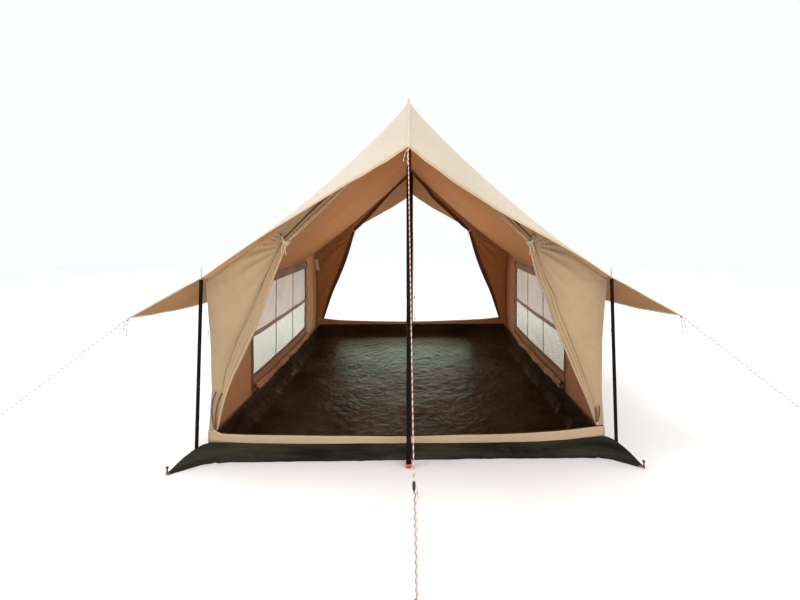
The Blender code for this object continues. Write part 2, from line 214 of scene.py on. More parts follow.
SIDES = (("left", -1), ("right", 1))
ENDS = (("front", -1), ("rear", 1))


# Numbers and curves

def blend(low, high, share):
    return low + (high - low) * share


def ease(share):
    share = np.clip(share, 0.0, 1.0)
    return share * share * (3 - 2 * share)


def through(points, count):
    """A smooth curve through given points, read at even steps of its own parameter."""
    points = np.array(points, float)
    first = 2 * points[0] - points[1]
    last = 2 * points[-1] - points[-2]
    padded = np.vstack([first, points, last])
    at = np.linspace(0, len(points) - 1, count)
    cell = np.minimum(at.astype(int), len(points) - 2)
    t = (at - cell)[:, None]
    p0, p1, p2, p3 = (padded[cell + i] for i in range(4))
    square = 2 * p0 - 5 * p1 + 4 * p2 - p3
    cube = 3 * p1 - p0 - 3 * p2 + p3
    return 0.5 * (2 * p1 + (p2 - p0) * t + square * t**2 + cube * t**3)


def xyz(x, y, z):
    """Three grids, or numbers that hold for a whole grid, as one grid of points."""
    return np.stack(np.broadcast_arrays(x, y, z), axis=-1)


def lengths(points):
    """Distance run along a row of points."""
    steps = np.linalg.norm(np.diff(points, axis=0), axis=1)
    return np.concatenate([[0.0], np.cumsum(steps)])


def evenly(points, count):
    """The same line with its points at even distances."""
    points = np.array(points, float)
    run = lengths(points)
    at = np.linspace(0, run[-1], count)
    return np.stack([np.interp(at, run, points[:, i]) for i in range(points.shape[1])], axis=1)


def rough(points, scale, seed, octaves=3):
    """Smooth seeded noise at every point of a grid, about -1 to 1."""
    flat = np.asarray(points).reshape(-1, 3) * scale + seed * 7.3
    values = [noise.fractal(Vector(p), 1.0, 2.0, octaves) for p in flat]
    return np.array(values).reshape(np.asarray(points).shape[:-1])


def creases(points, scale, seed):
    """Sharp-crested seeded noise, 0 to 1, as in crumpled coated cloth."""
    flat = np.asarray(points).reshape(-1, 3) * scale + seed * 3.1
    values = [1 - 2 * abs(noise.noise(Vector(p))) for p in flat]
    return np.clip(np.array(values), 0, 1).reshape(np.asarray(points).shape[:-1]) ** 3


def fan(across, up, centre, count, reach, turn):
    """Wrinkles that spread from a point where cloth is pulled, strongest a little way out."""
    dx = across - centre[0]
    dy = up - centre[1]
    away = np.hypot(dx, dy) / reach
    angle = np.arctan2(dy, dx)
    return np.cos(count * angle + turn + 0.7 * np.sin(3 * angle)) * away * np.exp(1 - 2.2 * away)


# Meshes

def finish_piece(obj, tones):
    """Give a piece its materials."""
    for tone in tones:
        obj.data.materials.append(MATERIALS[tone])
    obj.data.shade_smooth()
    obj.data.set_sharp_from_angle(angle=SHARP_TURN)
    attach(obj, "root")
    return obj


def mesh_object(name, vertices, faces, uv=None):
    mesh = bpy.data.meshes.new(name)
    mesh.from_pydata([tuple(v) for v in vertices], [], faces)
    if uv is not None:
        layer = mesh.uv_layers.new(name="cloth")
        corners = np.array([i for face in faces for i in face])
        layer.uv.foreach_set("vector", np.asarray(uv, np.float32)[corners].ravel())
    mesh.update()
    obj = bpy.data.objects.new(name, mesh)
    bpy.context.scene.collection.objects.link(obj)
    return obj


def thicken(obj, thick, offset=-1.0):
    shell = obj.modifiers.new("thickness", "SOLIDIFY")
    shell.thickness = thick
    shell.offset = offset
    return shell


def sheet(name, rows, tones, thick=CLOTH_T, hole=None, flip=False, offset=-1.0, two_sided=True):
    """Cloth with a thickness through a grid of points, which can have its second material at the back; the
    canvas pieces put their painted light and shade of the tent's inside there.
    """
    rows = np.asarray(rows, float)
    down, over = rows.shape[:2]
    faces = []
    for i in range(down - 1):
        for j in range(over - 1):
            if hole is not None and hole(i, j):
                continue
            ring = [i * over + j, (i + 1) * over + j, (i + 1) * over + j + 1, i * over + j + 1]
            faces.append(ring[::-1] if flip else ring)
    along = lengths(rows[:, over // 2])
    across = lengths(rows[down // 2])
    uv = np.stack(np.meshgrid(across, along), axis=-1).reshape(-1, 2)
    obj = mesh_object(name, rows.reshape(-1, 3), faces, uv)
    shell = thicken(obj, thick, offset)
    if two_sided:
        shell.material_offset = 1
    return finish_piece(obj, tones)


def sweep(name, path, profiles, tone, side=None, closed=False):
    """A section carried along a path: one for all of it, or one for each point, as (side, up) pairs."""
    path = np.asarray(path, float)
    count = len(path)
    if closed:
        ahead = np.roll(path, -1, axis=0) - np.roll(path, 1, axis=0)
    else:
        ahead = np.gradient(path, axis=0)
    ahead /= np.linalg.norm(ahead, axis=1)[:, None]
    if side is None:
        sides = [np.cross(ahead[0], (0.31, 0.45, 0.84))]
        for direction in ahead[1:]:
            sides.append(sides[-1] - direction * np.dot(sides[-1], direction))
            sides[-1] /= np.linalg.norm(sides[-1])
        sides[0] /= np.linalg.norm(sides[0])
        sides = np.array(sides)
    else:
        sides = np.broadcast_to(np.asarray(side, float), path.shape)
        sides = sides - ahead * np.sum(sides * ahead, axis=1)[:, None]
        sides /= np.linalg.norm(sides, axis=1)[:, None]
    ups = np.cross(sides, ahead)
    profiles = np.asarray(profiles, float)
    if profiles.ndim == 2:
        profiles = np.broadcast_to(profiles, (count,) + profiles.shape)
    ring = profiles.shape[1]
    points = path[:, None] + sides[:, None] * profiles[..., :1] + ups[:, None] * profiles[..., 1:]
    faces = []
    for i in range(count if closed else count - 1):
        k = (i + 1) % count
        for j in range(ring):
            m = (j + 1) % ring
            faces.append((i * ring + j, i * ring + m, k * ring + m, k * ring + j))
    if not closed:
        faces.append(tuple(range(ring))[::-1])
        faces.append(tuple((count - 1) * ring + j for j in range(ring)))
    around = lengths(np.vstack([profiles[0], profiles[0][:1]]))[:ring]
    uv = np.stack(np.meshgrid(around, lengths(path)), axis=-1).reshape(-1, 2)
    obj = mesh_object(name, points.reshape(-1, 3), faces, uv)
    return finish_piece(obj, [tone])


def round_section(radius, sides):
    turns = np.linspace(0, 2 * pi, sides, endpoint=False)
    return np.stack([np.cos(turns), -np.sin(turns)], axis=1) * radius


def flat_section(width, thick):
    """A strip's section with eased edges."""
    w = width / 2
    t = thick / 2
    e = min(w, t) * 0.8
    return [(-w, 0), (-w + e, -t), (0, -t), (w - e, -t), (w, 0), (w - e, t), (0, t), (-w + e, t)]


def tape(name, path, width, thick, tone, side, closed=False):
    return sweep(name, path, flat_section(width, thick), tone, side, closed)


def joined(name, objects):
    """Several small pieces made into one."""
    with bpy.context.temp_override(active_object=objects[0], selected_editable_objects=objects):
        bpy.ops.object.join()
    objects[0].name = name
    return objects[0]


# Materials

COAT_SHEEN = (0.92, 1.0, 0.82, 1.0)


def opaque(colour, shade=1.0):
    return tuple(c * shade for c in colour) + (1.0,)


def node(tree, kind, inputs=None, **settings):
    made = tree.nodes.new(kind)
    for key, value in settings.items():
        setattr(made, key, value)
    for key, value in (inputs or {}).items():
        if isinstance(value, bpy.types.NodeSocket):
            tree.links.new(value, made.inputs[key])
        else:
            made.inputs[key].default_value = value
    return made


def object_place(tree):
    return node(tree, "ShaderNodeTexCoord").outputs["Object"]


def cloth_place(tree):
    """Metres across and along a piece."""
    return node(tree, "ShaderNodeUVMap", uv_map="cloth").outputs["UV"]


def stretched(tree, place, scale):
    return node(tree, "ShaderNodeMapping", {"Vector": place, "Scale": scale}).outputs[0]


def noise_map(tree, place, scale, detail, **more):
    inputs = {"Vector": place, "Scale": scale, "Detail": detail, **more}
    return node(tree, "ShaderNodeTexNoise", inputs).outputs["Fac"]


def ranged(tree, value, low, high, to_low=0.0, to_high=1.0):
    inputs = {"Value": value, "From Min": low, "From Max": high, "To Min": to_low, "To Max": to_high}
    return node(tree, "ShaderNodeMapRange", inputs).outputs[0]


def mixed(tree, share, first, second):
    return node(tree, "ShaderNodeMix", {0: share, 6: first, 7: second}, data_type="RGBA").outputs[2]


def worked(tree, operation, first, second):
    return node(tree, "ShaderNodeMath", {0: first, 1: second}, operation=operation).outputs[0]


def bump(tree, height, strength, distance, under=None):
    """Relief, on top of the relief under it where there is one."""
    inputs = {"Height": height, "Strength": strength, "Distance": distance}
    if under is not None:
        inputs["Normal"] = under
    return node(tree, "ShaderNodeBump", inputs).outputs[0]


def clouded(tree, place, colour, other, scale, detail=4.0, low=0.35, high=0.65):
    """One colour drifting into another."""
    return mixed(tree, ranged(tree, noise_map(tree, place, scale, detail), low, high), colour, other)


def start_material(name, colour, rough_level, **shader_values):
    made = bpy.data.materials.new(name)
    made.use_nodes = True
    tree = made.node_tree
    shader = tree.nodes["Principled BSDF"]
    shader.inputs["Base Color"].default_value = opaque(colour)
    shader.inputs["Roughness"].default_value = rough_level
    for key, value in shader_values.items():
        shader.inputs[key.replace("_", " ")].default_value = value
    made.diffuse_color = opaque(colour)
    return made, tree, shader


def connect(tree, shader, **sockets):
    """Lead each socket into the shader's input of that name."""
    for key, value in sockets.items():
        tree.links.new(value, shader.inputs[key.replace("_", " ")])


def cloth_material(name, colour, shade, grime=0.0, relief=0.5, fuzz=0.12):
    """Woven cloth: threads both ways, slubs, soft clouding and fine creases."""
    made, tree, shader = start_material(
        name, colour, 0.92, Sheen_Weight=fuzz, Sheen_Roughness=0.6, Specular_IOR_Level=0.2 + 2 * fuzz
    )
    place = object_place(tree)
    flat = cloth_place(tree)
    dark = opaque(colour, shade)
    tone = clouded(tree, place, opaque(colour), dark, 1.7, 5.0)
    streak = noise_map(tree, stretched(tree, flat, (260.0, 9.0, 1.0)), 1.0, 2.0)
    tone = mixed(tree, ranged(tree, streak, 0.3, 0.75, 0.0, 0.35), tone, dark)
    if grime:
        stain = ranged(tree, noise_map(tree, place, 5.0, 6.0, Roughness=0.7), 0.52, 0.8)
        brown = opaque(c * k for c, k in zip(colour, (0.75, 0.62, 0.48)))
        tone = mixed(tree, worked(tree, "MULTIPLY", stain, grime), tone, brown)
    threads = {"Vector": flat, "Scale": 0.5 / THREAD, "Distortion": 0.4}
    warp, weft = (
        node(tree, "ShaderNodeTexWave", threads, bands_direction=way).outputs["Fac"] for way in "XY"
    )
    fine = bump(tree, worked(tree, "ADD", warp, weft), 0.25, 0.0002)
    crumple = noise_map(tree, place, 22.0, 4.0, Roughness=0.55)
    connect(tree, shader, Base_Color=tone, Normal=bump(tree, crumple, relief, 0.008, fine))
    return made


def film_material(name, colour, see_through, rough_level, mesh):
    """Clear film, or fine mesh where mesh is true: both let the light behind them through."""
    made, tree, shader = start_material(name, colour, rough_level, Alpha=see_through, Specular_IOR_Level=0.12)
    place = object_place(tree)
    pale = opaque(min(1.0, c * 1.25) for c in colour)
    tone = clouded(tree, place, opaque(colour), pale, 3.0)
    if mesh:
        cells = {"Vector": cloth_place(tree), "Scale": 700.0, "Randomness": 0.0}
        height = node(tree, "ShaderNodeTexVoronoi", cells).outputs["Distance"]
        distance = 0.0003
    else:
        height = noise_map(tree, place, 9.0, 3.0)
        distance = 0.012
    connect(tree, shader, Base_Color=tone, Normal=bump(tree, height, 0.5, distance))
    return made


def coated_material(name, colour, other, rough_level, crinkle, fine, ior, streak=1.0):
    """Dark coated sheet: crumpled at two scales, with a soft gloss. streak flattens its patches."""
    made, tree, shader = start_material(name, colour, rough_level, IOR=ior, Specular_Tint=COAT_SHEEN)
    place = object_place(tree)
    patches = stretched(tree, place, (1.0, 1.0, streak))
    tone = clouded(tree, patches, opaque(colour), opaque(other), 2.2, 6.0)
    worn = noise_map(tree, place, 3.5, 5.0)
    gloss = ranged(tree, worn, 0.0, 1.0, rough_level - 0.08, rough_level + 0.12)
    stir = node(tree, "ShaderNodeTexNoise", {"Vector": place, "Scale": 3.0, "Detail": 4.0}).outputs["Color"]
    shifted = node(tree, "ShaderNodeMix", {0: 0.16, 4: place, 5: stir}, data_type="VECTOR").outputs[1]
    normal = None
    for scale, strength, distance in ((11.0, crinkle, 0.05), (38.0, fine, 0.012)):
        cells = {"Vector": shifted, "Scale": scale, "Randomness": 1.0}
        height = node(tree, "ShaderNodeTexVoronoi", cells, feature="DISTANCE_TO_EDGE").outputs[0]
        normal = bump(tree, height, strength, distance, normal)
    connect(tree, shader, Base_Color=tone, Roughness=gloss, Normal=normal)
    return made


def metal_material(name, colour, rough_level, metallic, specks, shine=0.5):
    """Painted or bare metal with a fine uneven coat and rubbed spots."""
    made, tree, shader = start_material(
        name, colour, rough_level, Metallic=metallic, Specular_IOR_Level=shine
    )
    place = object_place(tree)
    rubbed = opaque(min(1.0, c * 2.2 + 0.02) for c in colour)
    tone = clouded(tree, place, opaque(colour), rubbed, 9.0, 6.0, 0.62, 0.74)
    peel = noise_map(tree, place, specks, 3.0)
    gloss = ranged(tree, peel, 0.0, 1.0, rough_level - 0.1, rough_level + 0.1)
    connect(tree, shader, Base_Color=tone, Roughness=gloss, Normal=bump(tree, peel, 0.15, 0.0005))
    return made


def braid_material(name, colour, fleck, pitch, share):
    """Braided cord or webbing: slanting strands of two colours."""
    made, tree, shader = start_material(name, colour, 0.8, Sheen_Weight=0.1)
    slant = stretched(tree, cloth_place(tree), (0.5 / pitch, 1 / pitch, 1.0))
    twist = {"Vector": slant, "Scale": 0.3142, "Distortion": 1.2, "Detail": 2.0, "Detail Scale": 2.0}
    bands = node(tree, "ShaderNodeTexWave", twist, bands_direction="DIAGONAL").outputs["Fac"]
    tone = mixed(tree, ranged(tree, bands, 1 - share - 0.08, 1 - share + 0.08), opaque(colour), opaque(fleck))
    lay = {"Vector": slant, "Scale": 1.3}
    strands = node(tree, "ShaderNodeTexWave", lay, bands_direction="DIAGONAL").outputs["Fac"]
    connect(tree, shader, Base_Color=tone, Normal=bump(tree, strands, 0.5, 0.0006))
    return made


MATERIALS = {
    "canvas": cloth_material("sand_canvas", (0.595, 0.515, 0.405), 0.90, 0.25),
    "sill": cloth_material("sill_canvas", (0.50, 0.350, 0.218), 0.90, 0.35),
    # painted shade: the gable cloth is the sand canvas in a darker, browner tone for the shade under the hood
    "gable": cloth_material("shaded_gable_canvas", (0.465, 0.322, 0.184), 0.84, 0.40, relief=0.9),
    # painted shade: the gathered band above each tie, a darker brown for the shadow of the hood
    "gathered": cloth_material("shaded_gathered_canvas", (0.40, 0.243, 0.124), 0.84, 0.35, relief=0.9),
    "shade": cloth_material("shaded_canvas", (0.120, 0.052, 0.025), 0.80, 0.4, fuzz=0.03),
    # painted light: the fly's underside over the room, warm orange for the glow through the canvas and the
    # light bounced inside
    "lining": cloth_material("ceiling_glow_canvas", (0.53, 0.235, 0.062), 0.86, 0.25, fuzz=0.03),
    # painted light: the hood undersides, lighter for the light bounced up under them
    "hood_underside_glow": cloth_material("hood_glow_canvas", (0.52, 0.30, 0.14), 0.88, 0.2, fuzz=0.03),
    # painted shade: the wing undersides outside the walls, darker
    "shaded_wing_underside": cloth_material("shaded_wing_canvas", (0.38, 0.185, 0.070), 0.86, 0.25, fuzz=0.03),
    # painted light: the left wall's inside towards the rear, lighter where light from outside falls on it
    "strip": cloth_material("lit_wall_strip_canvas", (0.56, 0.300, 0.118), 0.80, 0.3),
    # painted shade: the inner face of walls, gables and sills, a dark warm brown for the tent's shaded inside
    # and the glow through the canvas
    "inside": cloth_material("shaded_inner_canvas", (0.44, 0.200, 0.085), 0.80, 0.4, fuzz=0.03),
    # The blind in two tones of one cloth: the hanging strip's darker tone is painted shade, the roll's
    # lighter tone painted light
    "blind": cloth_material("shaded_blind_cloth", (0.30, 0.148, 0.064), 0.70, 0.6, fuzz=0.03),
    "roll": cloth_material("lit_roll_cloth", (0.38, 0.195, 0.090), 0.66, 0.6, relief=0.9, fuzz=0.03),
    "binding": cloth_material("hem_tape", (0.56, 0.40, 0.24), 0.85, 0.2, relief=0.15),
    "dark_tape": cloth_material("dark_tape", (0.11, 0.055, 0.030), 0.8, relief=0.15),
    "bar": cloth_material("bar_tape", (0.17, 0.095, 0.055), 0.8, relief=0.15),
    "pale_bar": cloth_material("pale_tape", (0.34, 0.225, 0.140), 0.8, relief=0.15),
    "header": cloth_material("header_tape", (0.27, 0.140, 0.065), 0.5, 0.7),
    "tag": cloth_material("blank_tag", (0.62, 0.55, 0.46), 0.9),
    # painted sheen: the skirt's lighter olive patches, drawn out along it, stand for the gloss along its long
    # folds
    "skirt": coated_material(
        "sheen_streaked_skirt", (0.004, 0.003, 0.002), (0.034, 0.029, 0.017), 0.46, 0.55, 0.35, 1.23, 9.0
    ),
    "floor": coated_material(
        "floor_sheet", (0.056, 0.036, 0.020), (0.028, 0.013, 0.005), 0.36, 0.22, 0.32, 1.050
    ),
    # painted shade: the groundsheet's turned-up edges, darker than the floor, with a rougher gloss
    "shaded_tub": coated_material("shaded_tub_sheet", (0.042, 0.029, 0.018), (0.020, 0.011, 0.006), 0.62, 0.30, 0.40, 1.05),
    "film": film_material("window_film", (0.44, 0.48, 0.28), 0.40, 0.50, False),
    "net": film_material("window_mesh", (0.48, 0.38, 0.27), 0.50, 0.7, True),
    "pole": metal_material("black_coat", (0.008, 0.005, 0.004), 0.38, 0.0, 400.0, 0.05),
    "steel": metal_material("bright_steel", (0.55, 0.54, 0.52), 0.32, 1.0, 250.0),
    "peg": metal_material("dark_steel", (0.05, 0.045, 0.045), 0.42, 0.8, 300.0),
    "toggle": metal_material("dark_toggle", (0.03, 0.022, 0.018), 0.35, 0.0, 120.0, 0.35),
    "ivory": metal_material("ivory_slider", (0.62, 0.58, 0.50), 0.4, 0.0, 150.0),
    "guy": braid_material("red_braid", (0.52, 0.13, 0.12), (0.80, 0.62, 0.58), 0.016, 0.6),
    "webbing": braid_material("red_webbing", (0.60, 0.05, 0.045), (0.72, 0.16, 0.12), 0.004, 0.4),
    "cord": braid_material("cream_cord", (0.62, 0.50, 0.33), (0.74, 0.64, 0.47), 0.005, 0.5),
}


# The fly

def roof_z(x, y):
    """Top of the fly's slopes and wings."""
    along = np.minimum(np.abs(y) / POLE_Y, 1.0)
    ridge = PEAK_Z - RIDGE_SAG * (1 - along**2)
    eave = blend(EAVE_MID, EAVE_Z, along**EAVE_LIFT)
    bend = blend(BEND_MID, BEND_END, along**2)
    out = np.abs(x) / WALL_X
    slope = ridge - (ridge - eave) * out * (1 + bend * (1 - out))
    wing = eave - (np.abs(x) - WALL_X) * blend(WING_MID, WING_END, along**2)
    return np.where(out <= 1, slope, wing)


def canopy_fall(x, y):
    """How steeply the hood falls at x; in front, the left half is drawn tighter than the right."""
    falls = []
    for shape in ("left", "right", "rear"):
        span, power = CANOPY_SHAPES[shape]
        falls.append(CANOPY_FALL * (1 - np.minimum(np.abs(x) / span, 1.0) ** power))
    front = np.where(x < 0, falls[0], falls[1])
    return np.where(y < 0, front, falls[2])


def fly_z(x, y):
    """The fly's top with its hoods, its fold over the poles and its creases."""
    round_over = blend(*FOLD_ROUND, ease(np.abs(x) / 0.3))
    soft = round_over * np.logaddexp(0.0, (np.abs(y) - POLE_Y) / round_over)
    z = roof_z(x, y) - canopy_fall(x, y) * soft
    rest = ease(np.abs(x) / 0.12)
    for end in (-1, 1):
        z = z + CUSP * np.exp(-np.hypot(x, 0.6 * (y - end * POLE_Y)) / 0.045)
        z = z + 0.0050 * fan(x, y, (0.0, end * POLE_Y), 13, 0.55, end) * rest
        z = z + 0.0025 * fan(x, y, (0.0, end * (POLE_Y + CANOPY_REACH)), 11, 0.22, 1.0) * rest
        for side in (-1, 1):
            z = z + 0.0050 * fan(x, y, (side * 1.37, end * 1.572), 9, 0.40, 2.0 + side)
    plan = xyz(x, y, 0)
    hood = ease((np.abs(y) - POLE_Y + 0.05) / 0.10)
    drawn = xyz(x, np.abs(y) * 4.5 + np.abs(x) * 0.8, np.sign(y))
    z = z + hood * rest * 0.0026 * rough(drawn, 3.0, 8, 2)
    z = z + 0.0060 * rough(plan, 1.3, 1) * rest * (1 - 0.6 * hood)
    return z + 0.0020 * rough(plan * (1, 2.5, 1), 5.0, 2)


def fly_rows():
    """The whole fly as one grid, from the front hood's edge to the rear one's."""
    outward = np.concatenate([np.linspace(0, 1, 44), 1 + np.linspace(0, 1, 11)[1:]])
    stations = np.concatenate([-outward[:0:-1], outward])
    hood = np.linspace(1, 0, 15)[:-1]
    main = np.sin(np.linspace(-1, 1, 90) * pi / 2)
    shares = np.concatenate([-1 - hood, main, 1 + hood[::-1]])
    share, station = np.meshgrid(shares, stations, indexing="ij")
    along = np.minimum(np.abs(share), 1.0)
    past = np.maximum(np.abs(share) - 1.0, 0.0)
    edge = blend(WING_X, TIP_X, along**4)
    wing = np.maximum(np.abs(station) - 1.0, 0.0)
    out = np.where(wing > 0, WALL_X + wing * (edge - WALL_X), np.abs(station) * WALL_X)
    x = np.sign(station) * out
    spread = np.maximum(out - WALL_X, 0.0) / (TIP_X - WALL_X)
    reach = CANOPY_REACH * np.maximum(1 - out / WALL_X, 0.0)
    end_y = blend(POLE_Y, TIP_Y, spread) + reach
    fold_y = np.minimum(POLE_Y, end_y - HEM)
    y = np.sign(share) * (along * fold_y + past * (end_y - fold_y))
    return xyz(x, y, fly_z(x, y))


def make_fly():
    rows = fly_rows()
    tones = ("canvas", "lining", "canvas", "shaded_wing_underside", "canvas", "hood_underside_glow")
    fly = sheet("fly", rows, tones, FLY_T, flip=True)
    # Undersides: the wings get the darker painted-shade tone; the hoods, and the fly's front corners past the
    # gables, get the lighter painted-light tone
    for face in fly.data.polygons:
        if abs(face.center.x) > WALL_X:
            face.material_index = 2
        elif abs(face.center.y) > POLE_Y + 0.01:
            face.material_index = 4
        elif face.center.y < -GABLE_Y and abs(face.center.x) > 1.0:
            face.material_index = 4
    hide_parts("roof_left", "roof_right", "front_canopy", "rear_canopy")
    rim = [rows[0, :-1], rows[:-1, -1], rows[-1, :0:-1], rows[:0:-1, 0]]
    inward = [rows[1, :-1] - rows[0, :-1], rows[:-1, -2] - rows[:-1, -1]]
    inward += [rows[-2, :0:-1] - rows[-1, :0:-1], rows[:0:-1, 1] - rows[:0:-1, 0]]
    inward = [way / np.linalg.norm(way, axis=1)[:, None] for way in inward]
    for i in range(4):
        inward[i][0] = inward[i][0] + inward[i - 1][-1]
    edge = [(u + 0.010, v) for u, v in flat_section(*FLY_HEM)]
    path = np.vstack(rim) - (0, 0, FLY_T / 2)
    hem = sweep("fly_hem", path, edge, "binding", np.vstack(inward), True)
    middle = rows.shape[1] // 2
    ridge = tape(
        "ridge_seam", rows[:, middle] + (0, 0, 0.0004), *RIDGE_TAPE, "canvas",
        (1, 0, 0),
    )
    seams = []
    for share in (-0.34, 0.34):
        row = np.argmin(np.abs(rows[:, middle, 1] - share * POLE_Y))
        line = rows[row] + (0, 0, 0.0002)
        seams.append(tape("seam", line, *SEAM_TAPE, "canvas", (0, 1, 0)))
    seams = joined("fly_seams", seams)


# Gathered gable cloths

PANEL_COUNT = 32          # points across the flat part
LOW_COUNT = 100           # points up to the tie
HIGH_COUNT = 64           # points from there to the peak
ROLL_COUNT = 64           # points round the outer fold of the band
ROLL_TURNS = 4.6          # turns of cloth inside it
TURN_COUNT = 12           # points round each turn
ROLL_CENTRE = (0.5, 0.05)
ROLL = (
    (0.00, 0.00), (0.07, -0.24), (0.13, -0.05), (0.01, 0.14), (0.08, 0.29), (0.28, 0.37), (0.50, 0.38),
    (0.70, 0.32), (0.87, 0.21), (0.98, 0.04), (0.96, -0.14), (0.80, -0.25), (0.50, -0.22),
)


def roll_section():
    """Across a gathered edge: its outer fold, then the turns of cloth rolled up inside it."""
    outer = evenly(through(ROLL, 120), ROLL_COUNT)
    ring = evenly(np.vstack([outer, outer[:1]]), 200)[:-1]
    centre = np.array(ROLL_CENTRE)
    inner = []
    for turn in np.linspace(0, ROLL_TURNS, int(ROLL_TURNS * TURN_COUNT))[1:]:
        at = ring[int(200 * 0.97 + 200 * turn) % 199]
        inner.append(centre + (at - centre) * blend(0.90, 0.40, turn / ROLL_TURNS))
    return np.vstack([outer, inner])


def corner_x(side, end, z):
    """Outer edge of a gable cloth: drawn out at the eave, in at half its height."""
    line = np.array(CORNER_LINES["rear" if end > 0 else "left" if side < 0 else "right"])
    return np.interp(z, line[:, 0], line[:, 1])


def pleats(share, count, sharp):
    """Folds across a gathered band, 0 to 1, each with one steep side."""
    saw = share * count - np.floor(share * count)
    return np.where(saw < sharp, saw / sharp, (1 - saw) / (1 - sharp))


def door_rows(side, end):
    """Half a gable cloth: a nearly flat panel, then a gathered roll along its inner edge."""
    front = end < 0
    side_name = "left" if side < 0 else "right"
    edge_low = evenly(through(EDGE_LOW[side_name] if front else REAR_EDGE_LOW, 60), LOW_COUNT)
    edge_high = evenly(through(EDGE_HIGH if front else REAR_EDGE_HIGH[side_name], 60), HIGH_COUNT)[1:]
    edge = np.vstack([edge_low, edge_high])

    def under(x):
        """The fly's underside over this half gable."""
        x = np.asarray(x, float)
        return fly_z(side * x, np.full_like(x, end * GABLE_Y)) - FLY_T - 0.0005

    eave = float(under([corner_x(side, end, 1.2)])[0])
    upright = [(float(corner_x(side, end, z)), z) for z in np.linspace(edge[0][1] - 0.002, eave, 30)]
    slope_x = np.linspace(upright[-1][0] - 0.02, 0.935, 30)
    slope = list(zip(slope_x, under(slope_x)))
    outer_low = evenly(upright + slope, LOW_COUNT)
    high_x = np.linspace(0.935, 0.0, HIGH_COUNT)[1:]
    outer = np.vstack([outer_low, list(zip(high_x, under(high_x)))])
    low_share = np.linspace(0, 1, LOW_COUNT)
    high_share = np.linspace(0, 1, HIGH_COUNT)[1:]
    widths = np.interp(low_share, *zip(*BAND_LOW[side_name if front else "right"]))
    widths = np.concatenate([widths, np.interp(high_share, *zip(*BAND_HIGH))])
    below = lengths(edge_low)[-1] - lengths(edge_low)
    above = lengths(edge_high)
    from_tie = np.concatenate([below, above])
    upper = np.concatenate([0 * below, ease(above / 0.15)])
    away = outer - edge
    span = np.linalg.norm(away, axis=1)
    away /= span[:, None]
    widths = np.minimum(widths, span * 0.8)
    near = 0.50 + 0.50 * np.exp(-((from_tie / 0.42) ** 1.5))
    tight = np.exp(-from_tie / 0.05)
    section = roll_section()
    q = np.clip(np.arange(len(section)) / (ROLL_COUNT - 1), 0, 1)
    on_face = np.sin(pi * np.clip(q / 0.75, 0, 1)) ** 0.5
    flat_share = np.linspace(0, 1, PANEL_COUNT)[:-1]
    rows = []
    for i in range(len(edge)):
        start = edge[i] + away[i] * widths[i]
        panel = outer[i] + (start - outer[i]) * flat_share[:, None]
        band = edge[i] + away[i] * widths[i] * (1 - section[:, :1])
        full = blend(1.0 + 0.5 * tight[i], 0.45, upper[i])
        folded = pleats(q + 0.03 * sin(9 * from_tie[i]), 6.3, 0.72) - 0.5
        depth = widths[i] * (full * section[:, 1] + on_face * folded * (0.36 * near[i] + 0.10 * upper[i]))
        depth = depth + 0.04 * widths[i] * np.cos(2 * pi * 1.7 * q + 4 * from_tie[i]) * on_face
        rows.append(np.column_stack([np.vstack([panel, band]), np.concatenate([0 * flat_share, depth])]))
    rows = np.array(rows)
    x, z, depth = rows[..., 0], rows[..., 1], rows[..., 2]
    share = np.concatenate([flat_share, np.ones(len(section))])
    loose = np.sin(pi * np.clip(share, 0, 1)) ** 0.6 * ease(span / 0.25)[:, None]
    depth += loose * 0.021 * fan(x, z, (0.83, 1.47), 21, 0.38, 0.6)
    depth += loose * 0.007 * fan(x, z, (1.33, 0.22), 11, 0.30, 0.2)
    depth += loose * 0.007 * fan(x, z, (1.355, eave), 11, 0.50, 1.0)
    flat_at = xyz(x * side, z, end)
    slant = flat_at[..., :2] @ np.array([[0.8, -0.25], [side * 0.6, 0.97]])
    slant = np.concatenate([slant, flat_at[..., 2:]], axis=-1)
    depth += loose * (0.010 * rough(flat_at, 1.8, 3, 2) + 0.0110 * rough(slant * (5.0, 1.1, 1), 1.6, 7, 2))
    depth += 0.0020 * rough(flat_at * (2.2, 1, 1), 9.0, 4, 2)
    return xyz(side * x, end * (GABLE_Y + depth), z)


def capsule(name, start, end, radius, tone):
    """A small bar with rounded ends."""
    shares = (0.0, 0.02, 0.08, 0.2, 0.5, 0.8, 0.92, 0.98, 1.0)
    radii = (0.12, 0.55, 0.85, 1.0, 0.92, 1.0, 0.85, 0.55, 0.12)
    run = float(np.linalg.norm(np.subtract(end, start)))
    profile = [(run * share, radius * r) for share, r in zip(shares, radii)]
    return turned(name, start, end, profile, tone)


